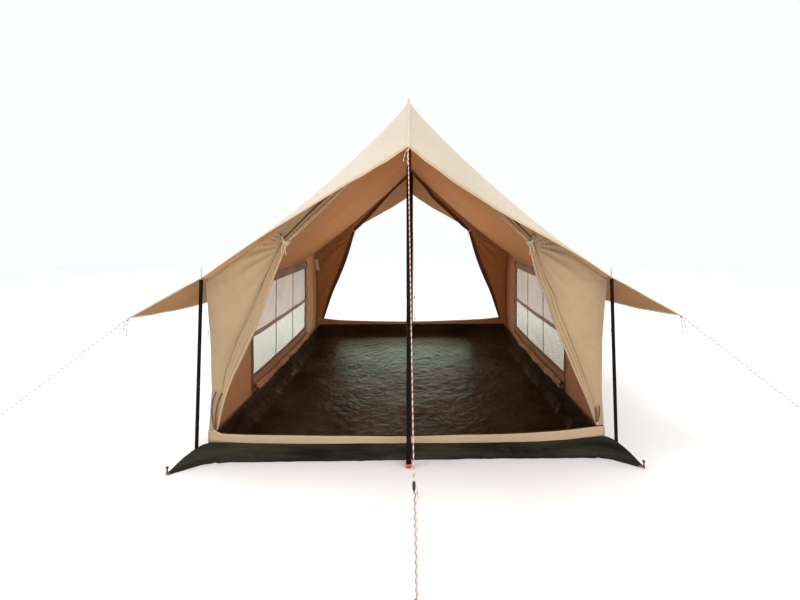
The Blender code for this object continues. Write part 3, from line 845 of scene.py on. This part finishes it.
def make_tie(name, side, end, knee):
    """Rings of cord round the gathered cloth at its knee, with a knot, two loose ends and a toggle."""
    centre = np.array([side * (knee[0] + 0.016), end * (GABLE_Y + 0.008), knee[1] + 0.004])
    way = np.array([side * -0.52, 0.0, 0.85])
    way /= np.linalg.norm(way)
    across = np.cross(way, (0, 1, 0))
    deep = np.array([0.0, 1.0, 0.0])
    parts = []
    for tilt, shift in TIE_RINGS:
        turns = np.linspace(0, 2 * pi, 40, endpoint=False)
        path = [
            centre + across * TIE_ROUND * cos(t) + deep * TIE_ROUND * sin(t)
            + way * (shift + 0.024 * tilt * cos(t))
            for t in turns
        ]
        parts.append(sweep("cord", path, round_section(TIE_R, 8), "cord", way, True))
    front = centre + deep * end * 0.030
    parts.append(knot("cord", front, 0.008, "cord"))
    for lean, drop in TIE_ENDS:
        path = [
            front + np.array([side * lean * t, end * 0.006 * sin(pi * t), -drop * t - 0.010 * t * t])
            for t in np.linspace(0, 1, 12)
        ]
        parts.append(sweep("cord", path, round_section(0.0022, 8), "cord"))
    hook = np.array([side * (knee[0] + 0.044), end * (GABLE_Y + 0.014), knee[1] + 0.050])
    for offset in (-0.003, 0.003):
        path = [
            blend(front, hook, t) + np.array([0, end * 0.004 * sin(pi * t), offset])
            for t in np.linspace(0, 1, 10)
        ]
        parts.append(sweep("cord", path, round_section(0.0020, 8), "cord"))
    joined(f"{name}_tie", parts)
    tilt = np.array([side * 0.5, 0.0, -0.6]) if side > 0 else np.array([0.0, 0.0, 1.0])
    tilt *= 0.013 / np.linalg.norm(tilt)
    capsule(f"{name}_toggle", hook - tilt, hook + tilt, 0.0048, "toggle")


def make_zips(name, side, end):
    """The zips' ends, open along the foot of a gathered cloth, with a slider in the corner."""
    lines = ZIPS["left"] if side < 0 else ZIPS["right"]
    parts = []
    for line in lines:
        flat = evenly(through(line, 60), 40)
        path = [
            (side * x, end * (GABLE_Y + 0.012 + 0.010 * sin(pi * k / 39)), z) for k, (x, z) in enumerate(flat)
        ]
        parts.append(tape("zip", path, *GABLE_ZIP, "dark_tape", (1, 0, 0.2)))
    joined(f"{name}_zips", parts)
    x, z = lines[0][-1]
    at = np.array([side * x, end * (GABLE_Y + 0.020), z + 0.004])
    capsule(f"{name}_slider", at - (side * 0.007, 0, 0.002), at + (side * 0.009, 0, 0.003), 0.0042, "ivory")


def make_door(side_name, side, end_name, end):
    rows = door_rows(side, end)
    name = f"{end_name}_{side_name}"
    tones = ("gable", "inside", "gathered", "shade", "shade", "shade")
    door = sheet(f"{name}_gable_cloth", rows, tones, GABLE_T, flip=side * end > 0)
    over = rows.shape[1] - 1
    first = PANEL_COUNT - 1
    # Painted shade: the band above the tie gets the darker gathered tone outside and the shade tone inside,
    # and the far part of each rear roll gets the shade tone on both faces
    for face in door.data.polygons:
        row, column = divmod(face.index, over)
        if end > 0 and column >= first + 0.60 * ROLL_COUNT:
            face.material_index = 4
        elif column >= first and row >= LOW_COUNT - 1:
            face.material_index = 2
    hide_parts(f"{name}_door")
    inner = first + int(0.66 * ROLL_COUNT)
    hem = tape(
        f"{name}_gable_hem", rows[2:-2, inner] + (0, end * 0.0005, 0), *GABLE_HEM,
        "binding" if end < 0 else "shade", rows[2:-2, inner + 2] - rows[2:-2, inner - 2],
    )
    make_tie(name, side, end, (EDGE_LOW[side_name] if end < 0 else REAR_EDGE_LOW)[-1])
    if end < 0:
        make_zips(name, side, end)


# Side walls, windows and curtains

def side_x(y):
    return WALL_X - WALL_BOW * (1 - (np.asarray(y, float) / GABLE_Y) ** 2)


def wall_points(side, y, z, out=0.0):
    """Points on a side wall's outer face, with its creases."""
    y, z = np.broadcast_arrays(np.asarray(y, float), np.asarray(z, float))
    place = xyz(side * 3.0, y, z * 1.5)
    x = side_x(y) - 0.003 + 0.0045 * rough(place, 1.6, 5) + 0.0012 * rough(place, 7.0, 6, 2)
    for end in (-1, 1):
        x = x + 0.004 * fan(y, z, (end * 1.5, 1.25), 9, 0.35, end)
        x = x + 0.003 * fan(y, z, (end * 1.5, 0.11), 9, 0.30, end)
        x = x + (corner_x(side, end, z) - WALL_X) * np.exp(-((end * y - GABLE_Y) / 0.16) ** 2)
    belly = np.exp(-(((y - 1.12) / 0.13) ** 2)) * np.sin(pi * np.clip((z - 0.2) / 0.98, 0, 1))
    x = x - 0.016 * belly + 0.005 * np.exp(-(((y - 1.30) / 0.03) ** 2))
    return xyz(side * (x + out), y, z)


def make_wall(side_name, side):
    ends = np.linspace(WINDOW_Y, GABLE_Y, 30)
    ys = np.concatenate([-ends[::-1], np.linspace(-WINDOW_Y, WINDOW_Y, 66)[1:-1], ends])
    low = np.linspace(SKIRT_Z - 0.004, WINDOW_Z[0], 12)
    middle = np.linspace(*WINDOW_Z, 34)[1:]
    eave_x = wall_points(side, ys, EAVE_MID)[:, 0]
    top = fly_z(eave_x, ys) - FLY_T - 0.0010
    share = np.linspace(0, 1, 8)[1:, None]
    lower = np.repeat(np.concatenate([low, middle])[:, None], len(ys), axis=1)
    z = np.vstack([lower, blend(WINDOW_Z[1], top, share)])
    y = np.broadcast_to(ys, z.shape)

    below = len(low) - 1
    beside = len(ends) - 1

    def hole(i, j):
        return below <= i < below + len(middle) and beside <= j < len(ys) - 1 - beside

    tones = ("canvas", "inside", "canvas", "strip")
    wall = sheet(f"{side_name}_wall_cloth", wall_points(side, y, z), tones, hole=hole, flip=side > 0)
    # Painted light on the left wall's inside towards the rear
    for face in wall.data.polygons:
        if side < 0 and face.center.y > LIT_STRIP_Y:
            face.material_index = 2
    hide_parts(f"{side_name}_wall")
    strip_y = np.linspace(-0.90, 0.90, 120)
    crimp = 0.004 * np.sin(strip_y * 60) * np.sin(strip_y * 23)
    strip = sweep(
        f"{side_name}_header", wall_points(side, strip_y, HEADER_Z + crimp, -CLOTH_T - 0.004), HEADER,
        "header", (0, 0, 1),
    )
    toggles = []
    for y_at in TOGGLE_Y:
        at = wall_points(side, y_at, HEADER_Z + 0.022, -CLOTH_T - 0.014)
        toggles.append(capsule("bar", at - (0, 0.012, 0), at + (0, 0.012, 0.002), 0.0046, "toggle"))
    joined(f"{side_name}_header_toggles", toggles)
    zips = []
    seam_y = GABLE_Y - 0.014
    for y_at, wave in ((-0.856, 0.011 * (side > 0)), (0.862, 0.014), (seam_y, 0.003), (-seam_y, 0.003)):
        up = np.linspace(0.20, WINDOW_Z[1] + 0.03, 90)
        off = -CLOTH_T - 0.0035 - wave * (0.6 + 0.5 * np.sin(up * 41))
        line = wall_points(side, y_at + wave * np.sin(up * 11), up, off)
        zips.append(tape("zip", line, *WALL_ZIP, "dark_tape", (0, 1, 0)))
    zips = joined(f"{side_name}_wall_zips", zips)
    if side < 0:
        fall = np.linspace(0, 1, 16)
        line = [(-1.318 + 0.018 * t * t, 1.415, blend(1.135, 0.985, t)) for t in fall]
        tape("blank_tape", line, *HANGING_TAPE, "tag", (1, 0.2, 0))


def frame_line(half, low, high, radius, count):
    """A rounded oblong in a wall's own plane, as (y, z) points and the way in from each."""
    points = []
    for centre_y, centre_z, start in (
        (half - radius, high - radius, 0.0), (radius - half, high - radius, pi / 2),
        (radius - half, low + radius, pi), (half - radius, low + radius, 1.5 * pi),
    ):
        for turn in np.linspace(start, start + pi / 2, 6):
            points.append((centre_y + radius * cos(turn), centre_z + radius * sin(turn)))
    return evenly(points + points[:1], count + 1)[:-1]


def pane_points(side, y, z):
    """Points on a window's panes, which belly in a little between the bars."""
    y, z = np.broadcast_arrays(np.asarray(y, float), np.asarray(z, float))
    across = np.abs(np.sin(pi * (y - PANE_Y[0]) / (PANE_Y[1] - PANE_Y[0])))
    rise = np.sin(pi * (z - WINDOW_Z[0]) / (WINDOW_Z[1] - WINDOW_Z[0]))
    return wall_points(side, y, z, -0.001 - 0.006 * across * rise)


def make_window(side_name, side):
    """The panes of one window, mesh above and film below, with their bars and binding."""
    y, z = np.meshgrid(np.linspace(-WINDOW_Y, WINDOW_Y, 67), np.linspace(*WINDOW_Z, 34))
    rows = pane_points(side, y, z)
    window = sheet(
        f"{side_name}_window_panes", rows, ("film", "net"), PANE_T, flip=side > 0, offset=0.0, two_sided=False
    )
    for face in window.data.polygons:
        face.material_index = int(face.center.z > PANE_Z)
    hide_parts(f"{side_name}_window")
    outline = frame_line(WINDOW_Y, WINDOW_Z[0], WINDOW_Z[1], 0.02, 260)
    path = wall_points(side, outline[:, 0], outline[:, 1], -CLOTH_T / 2)
    inward = xyz(0 * outline[:, 0], -outline[:, 0] / WINDOW_Y, (0.725 - outline[:, 1]) / 0.39) ** 9
    edge = tape(
        f"{side_name}_window_binding", path, *WINDOW_EDGE, "dark_tape",
        inward + 1e-6, True,
    )
    bars = []
    for y_at in PANE_Y:
        line = wall_points(side, y_at, np.linspace(*WINDOW_Z, 40), -CLOTH_T / 2)
        bars.append(tape("bar", line, *UPRIGHT_BAR, "bar", (0, 1, 0)))
    for rise, width, thick, tone in LEVEL_BARS:
        line = pane_points(side, np.linspace(-WINDOW_Y, WINDOW_Y, 133), PANE_Z + rise)
        bars.append(tape("bar", line, width, thick, tone, (0, 0, 1)))
    bars = joined(f"{side_name}_window_bars", bars)


def curtain_tucks(side):
    """Where cords or creases pinch the rolled blind: place along it, slant and depth."""
    at = np.cumsum([0.06 + 0.30 * abs(noise.noise(Vector((k * 1.7, side, 0.5)))) for k in range(15)])
    at = (at / at[-1] * 2 - 1) * CURTAIN_Y
    slant = [0.06 + 0.16 * noise.noise(Vector((k * 2.3, side, 3.5))) for k in range(len(at))]
    deep = [0.35 + 0.70 * abs(noise.noise(Vector((k * 3.1, side, 7.5)))) for k in range(len(at))]
    return list(zip(at, slant, deep))


def make_curtain(side_name, side):
    """A window's inner blind: a strip of it under the window, and the rest in a loose pinched roll."""
    low, high = CURTAIN_Z
    turns = np.linspace(-0.5 * pi - 2.4 * 2 * pi, 0.86 * pi, 76)
    shrink = np.linspace(0.25, 1.0, len(turns))
    tucks = curtain_tucks(side)
    rows = []
    for y in np.linspace(-CURTAIN_Y, CURTAIN_Y, 200):
        pinch = 0 * turns
        for at, slant, deep in tucks:
            pinch = np.maximum(pinch, deep * np.exp(-(((y - at - slant * np.sin(turns)) / 0.020) ** 2)))
        lump = 1.0 + 0.40 * noise.noise(Vector((y * 5.0, side, 0.0)))
        wound = [
            noise.noise(Vector((y * 2.4 + side, 1.5 * cos(t + 3 * y), 1.5 * sin(t + 3 * y)))) for t in turns
        ]
        fold = lump + 0.55 * np.array(wound)
        drop = 0.010 * noise.noise(Vector((y * 3.1, side, 4.0)))
        across = ROLL_DEEP * shrink * np.cos(turns) * (1 - 0.7 * pinch) * fold
        tall = ROLL_TALL * shrink * np.sin(turns) * (1 - 0.4 * pinch) * (0.5 + 0.5 * fold)
        middle = low + ROLL_TALL + drop
        strip_z = np.linspace(middle + tall[-1] + 0.002, high, 7)
        roll_x = np.minimum(side_x(y) - 0.006 - ROLL_DEEP * 0.9 - across, side_x(y) - 0.016)
        x = np.concatenate([roll_x, np.full(7, side_x(y) - 0.012)])
        rows.append(np.column_stack([side * x, np.full_like(x, y), np.concatenate([middle + tall, strip_z])]))
    rows = np.array(rows)
    swell = 0.0030 * rough(rows * (6.0, 5.0, 9.0), 2.0, 9, 3)
    rows[..., 0] -= side * np.abs(swell)
    rows[..., 2] += swell
    curtain = sheet(f"{side_name}_rolled_blind", rows, ("roll", "blind"), BLIND_T, offset=0.0, two_sided=False)
    over = rows.shape[1] - 1
    # The hanging strip and the groove above the roll get the darker painted-shade tone; the rest of the roll
    # gets the lighter painted-light tone
    for face in curtain.data.polygons:
        face.material_index = int(face.index % over >= len(turns) - 6)
    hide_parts(f"{side_name}_curtain")


# Sills, skirts and groundsheet

def along_curve(points, at):
    """Height of a smooth curve through given (x, z) points."""
    line = through(points, 240)
    return np.interp(at, line[:, 0], line[:, 1])


def make_sill(end_name, end):
    top_line, seam_line = (FRONT_SILL, FRONT_SEAM) if end < 0 else (REAR_SILL, REAR_SEAM)
    xs = np.linspace(-1.362, 1.362, 170)
    top = along_curve(top_line, xs)
    seam = along_curve(seam_line, xs) - 0.006
    share = np.linspace(0, 1, 14)[:, None]
    z = blend(seam, top, share)
    reach = np.where(xs < 0, corner_x(-1, end, 0.2), corner_x(1, end, 0.2)) + 0.004
    x = np.broadcast_to(xs * reach / xs[-1], z.shape)
    place = xyz(x * 2.2, end * 5.0, z * 4)
    y = end * (GABLE_Y + 0.001 + 0.004 * rough(place, 1.6, 12) + 0.0012 * rough(place, 9.0, 13, 2))
    rows = xyz(x, y, z)
    sill = sheet(f"{end_name}_sill_cloth", rows, ("sill", "inside"), flip=end < 0)
    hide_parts(f"{end_name}_sill")
    path = rows[-1] - (0, end * CLOTH_T / 2, 0.006)
    hem = tape(
        f"{end_name}_sill_hem", path, *SILL_HEM, "binding", (0, 0, 1)
    )


def make_gable_skirt(end_name, end):
    """The black skirt under a gable, running out in a flap at each corner."""
    seam_line = FRONT_SEAM if end < 0 else REAR_SEAM
    flap = through(FLAP, 60)
    inner = np.linspace(0, FLAP[0][0], 90)
    out_x = np.concatenate([inner[:-1], flap[:, 0]])
    out_y = np.concatenate([np.full(len(inner) - 1, FLAP[0][1]), flap[:, 1]])
    out_high = np.concatenate([np.ones(len(inner) - 1), flap[:, 2]])
    x = np.concatenate([-out_x[:0:-1], out_x])
    y = np.concatenate([out_y[:0:-1], out_y])
    high = np.clip(np.concatenate([out_high[:0:-1], out_high]), 0.1, 1)
    top = (along_curve(seam_line, np.clip(x, -1.36, 1.36)) + 0.002) * high
    share = np.linspace(0, 1, 18)[:, None]
    z = blend(0.0030, top, share)
    xx = np.broadcast_to(x, z.shape)
    place = xyz(xx * 1.6, end * 9.0, z * 2.5)
    flare = SKIRT_FLARE * (1 - share) ** 2
    wave = 0.008 * rough(place, 2.2, 21) * (1 - share * 0.8) + 0.0022 * rough(place, 11.0, 22, 2)
    long_fold = xyz(xx * 0.9, end * 4.0, z * 26 + xx * 0.5)
    wave = wave + 0.0100 * np.sin(pi * share) * rough(long_fold, 1.0, 25, 3)
    notch = -0.012 * np.exp(-(((np.abs(xx) - NOTCH_X) / 0.014) ** 2)) * (1 - share)
    yy = end * (y + 0.001 + flare * 0.8 + wave + notch)
    rows = xyz(xx, yy, z)
    skirt = sheet(f"{end_name}_skirt_cloth", rows, ["skirt"], SKIRT_T, flip=end < 0, two_sided=False)
    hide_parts(f"{end_name}_skirt")
    seam = tape(
        f"{end_name}_skirt_seam", rows[-1, 8:-8] + (0, end * 0.0006, -0.005), *SKIRT_SEAM,
        "skirt", (0, 0, 1),
    )


def make_side_skirt(side_name, side):
    ys = np.linspace(-GABLE_Y + 0.008, GABLE_Y - 0.008, 150)
    share = np.linspace(0, 1, 14)[:, None]
    rise = SKIRT_Z + (SKIRT_END_Z - SKIRT_Z) * (np.abs(ys) / GABLE_Y) ** 4
    z = blend(0.0030, rise, share)
    y = np.broadcast_to(ys, z.shape)
    place = xyz(side * 7.0, y * 1.6, z * 2.5)
    wave = 0.006 * rough(place, 2.2, 23) * (1 - share * 0.8) + 0.0018 * rough(place, 11.0, 24, 2)
    x = side * (side_x(y) + 0.001 + SKIRT_FLARE * 0.8 * (1 - share) ** 2 + wave)
    rows = xyz(x, y, z)
    skirt = sheet(f"{side_name}_skirt_cloth", rows, ["skirt"], SKIRT_T, flip=side > 0, two_sided=False)
    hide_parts(f"{side_name}_skirt")


def make_groundsheet():
    """The floor with its edges turned up, crumpled where it was folded."""
    half_y = GABLE_Y - 0.010
    xs = np.linspace(-TUB_X, TUB_X, 150)
    ys = np.linspace(-half_y, half_y, 160)
    y, x = np.meshgrid(ys, xs, indexing="ij")
    place = xyz(x, y * 1.2, 0)
    wander = 0.030 * rough(place * (4, 4, 1), 1.5, 35, 3)
    in_x = np.maximum(TUB_TURN - (TUB_X - np.abs(x)) + wander, 0.0)
    in_y = np.maximum(TUB_TURN - (half_y - np.abs(y)), 0.0) * np.where(y > 0, 1.0, 0.6)
    turn_up = TUB_TURN - np.sqrt(TUB_TURN**2 - np.minimum(np.hypot(in_x, in_y), TUB_TURN) ** 2)
    drawn = place * (1.5, 0.7, 1)
    z = 0.0035 + turn_up + 0.003 * creases(drawn, 5.0, 31) + 0.0022 * creases(drawn, 13.0, 32)
    z = z + REAR_RISE * ease((y - 1.10) / 0.36)
    z = z + 0.008 * np.clip(rough(place, 1.8, 33), 0, 1)
    for end, deep, count in ((-1, 0.003, 34), (1, 0.011, 44)):
        z = z + deep * np.clip(fan(x, y, (0.02, end * 1.44), count, 1.0, 0.4), 0, 1)
    down, over = x.shape
    points = [xyz(x, y, z).reshape(-1, 3)]
    faces = []
    for i in range(down - 1):
        for j in range(over - 1):
            faces.append((i * over + j, i * over + j + 1, (i + 1) * over + j + 1, (i + 1) * over + j))
    ring = list(range(over))
    ring += [i * over + over - 1 for i in range(1, down)]
    ring += [(down - 1) * over + j for j in range(over - 2, -1, -1)]
    ring += [i * over for i in range(down - 2, 0, -1)]
    foot = points[0][ring]
    front = along_curve(FRONT_SILL, foot[:, 0]) + 0.004
    sill = np.where(foot[:, 1] < 0, front, along_curve(REAR_SILL, foot[:, 0]) - 0.012)
    at_end = np.abs(foot[:, 1]) > half_y - 1e-6
    high = np.where(at_end, np.minimum(sill, TUB_Z + 0.016), TUB_Z)
    outward = xyz(foot[:, 0] / TUB_X, foot[:, 1] / half_y, 0 * high)
    outward[:, :2] = np.where(np.abs(outward[:, :2]) > 1 - 1e-6, outward[:, :2], 0)
    levels = 8
    base = len(points[0])
    before = ring
    for level in range(1, levels + 1):
        share = level / levels
        lean = 0.007 * rough(foot * (5, 5, 1) + (0, 0, share * 1.2), 1.7, 34, 3) * min(1.0, 2 * share) - 0.003
        lift = foot[:, 2] + (high - foot[:, 2]) * share
        rim = foot + outward * lean[:, None]
        rim[:, 2] = lift
        points.append(rim)
        now = [base + (level - 1) * len(ring) + k for k in range(len(ring))]
        for k in range(len(ring)):
            m = (k + 1) % len(ring)
            faces.append((before[k], before[m], now[m], now[k])[::-1])
        before = now
    obj = mesh_object("groundsheet_cloth", np.vstack(points), faces)
    thicken(obj, FLOOR_T)
    finish_piece(obj, ("floor", "shaded_tub"))
    # The turned-up edges get the darker painted-shade tone and its rougher gloss
    for face in obj.data.polygons:
        at_edge = abs(face.center.x) > TUB_X - 0.03 or face.center.y > half_y - 0.05
        face.material_index = int(at_edge)
    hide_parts("groundsheet")


# Poles, lines and pegs

def turned(name, start, end, profile, tone):
    """A round bar whose radius follows (distance, radius) pairs from start to end."""
    start = np.array(start, float)
    way = np.array(end, float) - start
    way /= np.linalg.norm(way)
    path = [start + way * distance for distance, radius in profile]
    sections = [round_section(radius, 20) for distance, radius in profile]
    return sweep(name, path, sections, tone)


def make_centre_pole(end_name, end):
    r = POLE_R
    top = PEAK_Z - 0.022
    profile = [(0.0, r), (0.002, r + 0.002), (0.034, r + 0.002), (0.036, r + 0.0003)]
    for joint in POLE_JOINTS:
        profile += [(joint - 0.001, r), (joint, r - 0.0012), (joint + 0.002, r - 0.0012), (joint + 0.003, r)]
        profile += [(joint + 0.040, r), (joint + 0.041, r + 0.0004)]
    profile += [(top - 0.012, r), (top - 0.006, r - 0.001), (top, 0.006)]
    y = end * POLE_Y
    pole = turned(f"{end_name}_centre_pole", (0, y, 0), (0, y, 1), profile, "pole")
    turned(f"{end_name}_centre_spike", (0, y, top), (0, y, 3), CENTRE_SPIKE, "steel")
    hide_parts(f"{end_name}_pole")
    strap_turn = np.linspace(0.12 * pi, 0.88 * pi, 24)
    arc = [(0.021 * cos(t), y + end * (0.004 + 0.019 * sin(t)), 0.020) for t in strap_turn]
    back = end * (GABLE_Y + 0.016)
    path = evenly([(0.012, back, 0.026)] + arc + [(-0.012, back, 0.026)], 60)
    tape(f"{end_name}_pole_loop", path, *POLE_LOOP, "webbing", (0, 0, 1))
    grommet(f"{end_name}_peak_grommet", (0, y, PEAK_Z + 0.001), 0.0085)


def grommet(name, centre, radius):
    turns = np.linspace(0, 2 * pi, 28, endpoint=False)
    path = [(centre[0] + radius * cos(t), centre[1] + radius * sin(t), centre[2]) for t in turns]
    sweep(name, path, round_section(0.0022, 10), "steel", (0, 0, 1), True)


def make_corner_pole(end_name, end, side_name, side):
    """A slanting corner pole: its tube stops under the fly and its spike goes through."""
    foot = np.array([side * CORNER_FOOT[0], end * CORNER_FOOT[1], 0.0008])
    top = np.array([side * CORNER_TOP[0], end * CORNER_TOP[1], 0.0])
    top[2] = float(fly_z(np.array([top[0]]), np.array([top[1]]))[0])
    run = float(np.linalg.norm(top - foot))
    r = CORNER_R
    stop = run - 0.004
    profile = [(0.0, r), (0.002, r + 0.0016), (0.028, r + 0.0016), (0.030, r)]
    profile += [(0.64, r), (0.641, r - 0.001), (0.643, r - 0.001), (0.644, r), (0.68, r)]
    profile += [(stop - 0.010, r), (stop - 0.004, r - 0.001), (stop, 0.005)]
    name = f"{end_name}_{side_name}_corner_pole"
    pole = turned(name, foot, top, profile, "pole")
    way = (top - foot) / run
    turned(f"{name}_spike", foot + way * stop, top + way, CORNER_SPIKE, "steel")
    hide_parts(f"{end_name}_{side_name}_pole")
    grommet(f"{end_name}_{side_name}_corner_grommet", top + (0, 0, 0.001), 0.0080)


def make_guy(name, tip, peg, node_name):
    """A guy line: from the fly to its peg, round it, and back up to its runner, with a loose tail."""
    tip = np.array(tip, float)
    peg = np.array(peg, float)
    way = peg - tip
    run = float(np.linalg.norm(way))
    way /= run
    across = np.cross(way, (0, 0, 1))
    across /= np.linalg.norm(across)
    up = np.cross(across, way)
    loop = 0.006
    down = [tip + way * d for d in np.linspace(0, run - loop, 70)]
    path = down + [peg + loop * 0.9 * (sin(t) * across - cos(t) * way) for t in np.linspace(0.5, pi, 6)]
    path += [
        peg - way * d + across * (-0.004 - 0.002 * min(1.0, d / 0.05))
        for d in np.linspace(0.004, GUY_BACK, 26)
    ]
    end = path[-1]
    path += [
        end + up * 0.012 * t + np.array([0, 0, -0.055]) * t * t - across * 0.012 * t
        for t in (0.3, 0.6, 0.8, 1.0)
    ]
    line = sweep(name, path, round_section(GUY_R, 10), "guy")
    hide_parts(node_name)
    middle = peg - way * GUY_BACK
    sections = [flat_section(w, 0.007) for w in (0.008, 0.014, 0.016, 0.014, 0.016, 0.014, 0.008)]
    runner_path = [middle + way * d for d in np.linspace(-0.020, 0.020, 7)]
    sweep(f"{name}_runner", runner_path, sections, "toggle", across)
    knot(f"{name}_knot", end - across * 0.002 + (0, 0, -0.008), 0.0055)
    ends = [knot("knot", tip - (0, 0, 0.007), 0.0080)]
    lean = np.sign(tip[0]) or -1.0
    for reach, drop in TIP_ENDS:
        path = [
            tip + np.array([lean * reach * t, 0.0, -0.008 - drop * t * t]) for t in np.linspace(0.0, 1.0, 14)
        ]
        ends.append(sweep("end", path, round_section(0.0024, 8), "guy"))
    joined(f"{name}_tip_tie", ends)


def knot(name, centre, size, tone="guy"):
    """A small overhand knot."""
    turns = np.linspace(0, 2 * pi, 60, endpoint=False)
    path = [
        (
            centre[0] + size * 0.42 * (sin(t) + 2 * sin(2 * t)) / 2,
            centre[1] + size * 0.42 * (cos(t) - 2 * cos(2 * t)) / 2,
            centre[2] - size * 0.5 * sin(3 * t),
        )
        for t in turns
    ]
    return sweep(name, path, round_section(size * 0.34, 8), tone, None, True)


def make_peg(name, x, y, node_name):
    """A steel peg as it stands out of the ground."""
    profile = [(0.0, 0.0046), (PEG_Z - 0.006, 0.0046), (PEG_Z - 0.003, 0.0062), (PEG_Z, 0.0098)]
    profile += [(PEG_Z + 0.002, 0.0104), (PEG_Z + 0.0045, 0.0098), (PEG_Z + 0.0060, 0.0070)]
    peg = turned(name, (x, y, 0), (x, y, 1), profile, "peg")
    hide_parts(node_name)


def make_flap_loop(name, side, end, peg):
    """A loop of red tape from a skirt flap's tip round its peg."""
    tip = np.array([side * (FLAP[-1][0] - 0.018), end * (FLAP[-1][1] - 0.014)])
    peg = np.array(peg)
    way = peg - tip
    way /= np.linalg.norm(way)
    across = np.array([-way[1], way[0]])
    turns = np.linspace(-0.5 * pi, 0.5 * pi, 16)
    arc = [peg + 0.0085 * (way * cos(t) + across * sin(t)) for t in turns]
    line = [tip - across * 0.006] + arc + [tip + across * 0.006]
    path = evenly([(x, y, 0.009) for x, y in line], 40)
    tape(name, path, *FLAP_LOOP, "webbing", (0, 0, 1))


def middle_of(node_name):
    """Where an upright CAD piece stands, seen from above."""
    low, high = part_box(node_name)
    return (low[0] + high[0]) / 2, (low[1] + high[1]) / 2


def make_lines_and_pegs():
    for end_name, end in ENDS:
        centre_y = end * (POLE_Y + CANOPY_REACH)
        tip_z = float(fly_z(np.array([0.0]), np.array([centre_y]))[0])
        peg = middle_of(f"{end_name}_peg")
        make_peg(f"{end_name}_guy_pin", *peg, f"{end_name}_peg")
        make_guy(
            f"{end_name}_centre_line", (0, centre_y - end * 0.004, tip_z - 0.006), (*peg, PEG_Z - 0.008),
            f"{end_name}_guy",
        )
        for side_name, side in SIDES:
            peg = middle_of(f"{end_name}_{side_name}_guy_peg")
            make_peg(f"{end_name}_{side_name}_line_pin", *peg, f"{end_name}_{side_name}_guy_peg")
            tip = np.array([side * TIP_X, end * TIP_Y])
            high = float(fly_z(tip[:1], tip[1:])[0])
            make_guy(
                f"{end_name}_{side_name}_line", (*tip, high - 0.002), (*peg, PEG_Z - 0.008),
                f"{end_name}_{side_name}_guy",
            )
            peg = middle_of(f"{end_name}_{side_name}_flap_peg")
            make_peg(f"{end_name}_{side_name}_flap_pin", *peg, f"{end_name}_{side_name}_flap_peg")
            make_flap_loop(f"{end_name}_{side_name}_flap_loop", side, end, peg)


# Camera, light and floor

def make_stage():
    view = bpy.data.cameras.new("view")
    view.sensor_width = 36.0
    view.lens = LENS
    view.shift_x = SHIFT[0]
    view.shift_y = SHIFT[1]
    camera = bpy.data.objects.new("view", view)
    camera.location = CAMERA
    camera.rotation_euler = (pi / 2, 0.0, CAMERA_TURN)
    bpy.context.scene.collection.objects.link(camera)
    bpy.context.scene.camera = camera
    made, tree, shader = start_material("pale_floor", (0.96, 0.96, 0.96), 0.9, Specular_IOR_Level=0.0)
    tone = clouded(tree, object_place(tree), (0.97, 0.97, 0.97, 1), (0.95, 0.95, 0.95, 1), 1.5)
    connect(tree, shader, Base_Color=tone)
    half = FLOOR_HALF
    corners = [(-half, -half, 0.0), (half, -half, 0.0), (half, half, 0.0), (-half, half, 0.0)]
    floor = mesh_object("floor", corners, [(0, 1, 2, 3)])
    floor.data.materials.append(made)
    for name, kind, power, size, place, aim, colour in LIGHTS:
        data = bpy.data.lights.new(name, kind)
        data.energy = power
        data.color = colour
        if kind == "AREA":
            data.shape = "ELLIPSE" if name == "sheen" else "RECTANGLE"
            data.size, data.size_y = size
        else:
            data.shadow_soft_size = size[0]
        lamp = bpy.data.objects.new(name, data)
        lamp.visible_camera = False
        lamp.visible_glossy = name != "room"
        lamp.visible_diffuse = name != "sheen"
        lamp.location = place
        lamp.rotation_euler = (Vector(aim) - Vector(place)).to_track_quat("-Z", "Y").to_euler()
        bpy.context.scene.collection.objects.link(lamp)
    world = bpy.data.worlds.new("sky")
    world.use_nodes = True
    sky = world.node_tree.nodes["Background"]
    sky.inputs["Color"].default_value = (0.98, 0.99, 1.0, 1.0)
    sky.inputs["Strength"].default_value = SKY
    bpy.context.scene.world = world
    bpy.context.scene.view_settings.view_transform = "Standard"


# Build

make_stage()
make_fly()
for end_name, end in ENDS:
    for side_name, side in SIDES:
        make_door(side_name, side, end_name, end)
        make_corner_pole(end_name, end, side_name, side)
    make_sill(end_name, end)
    make_gable_skirt(end_name, end)
    make_centre_pole(end_name, end)
for side_name, side in SIDES:
    make_wall(side_name, side)
    make_window(side_name, side)
    make_curtain(side_name, side)
    make_side_skirt(side_name, side)
make_groundsheet()
make_lines_and_pegs()
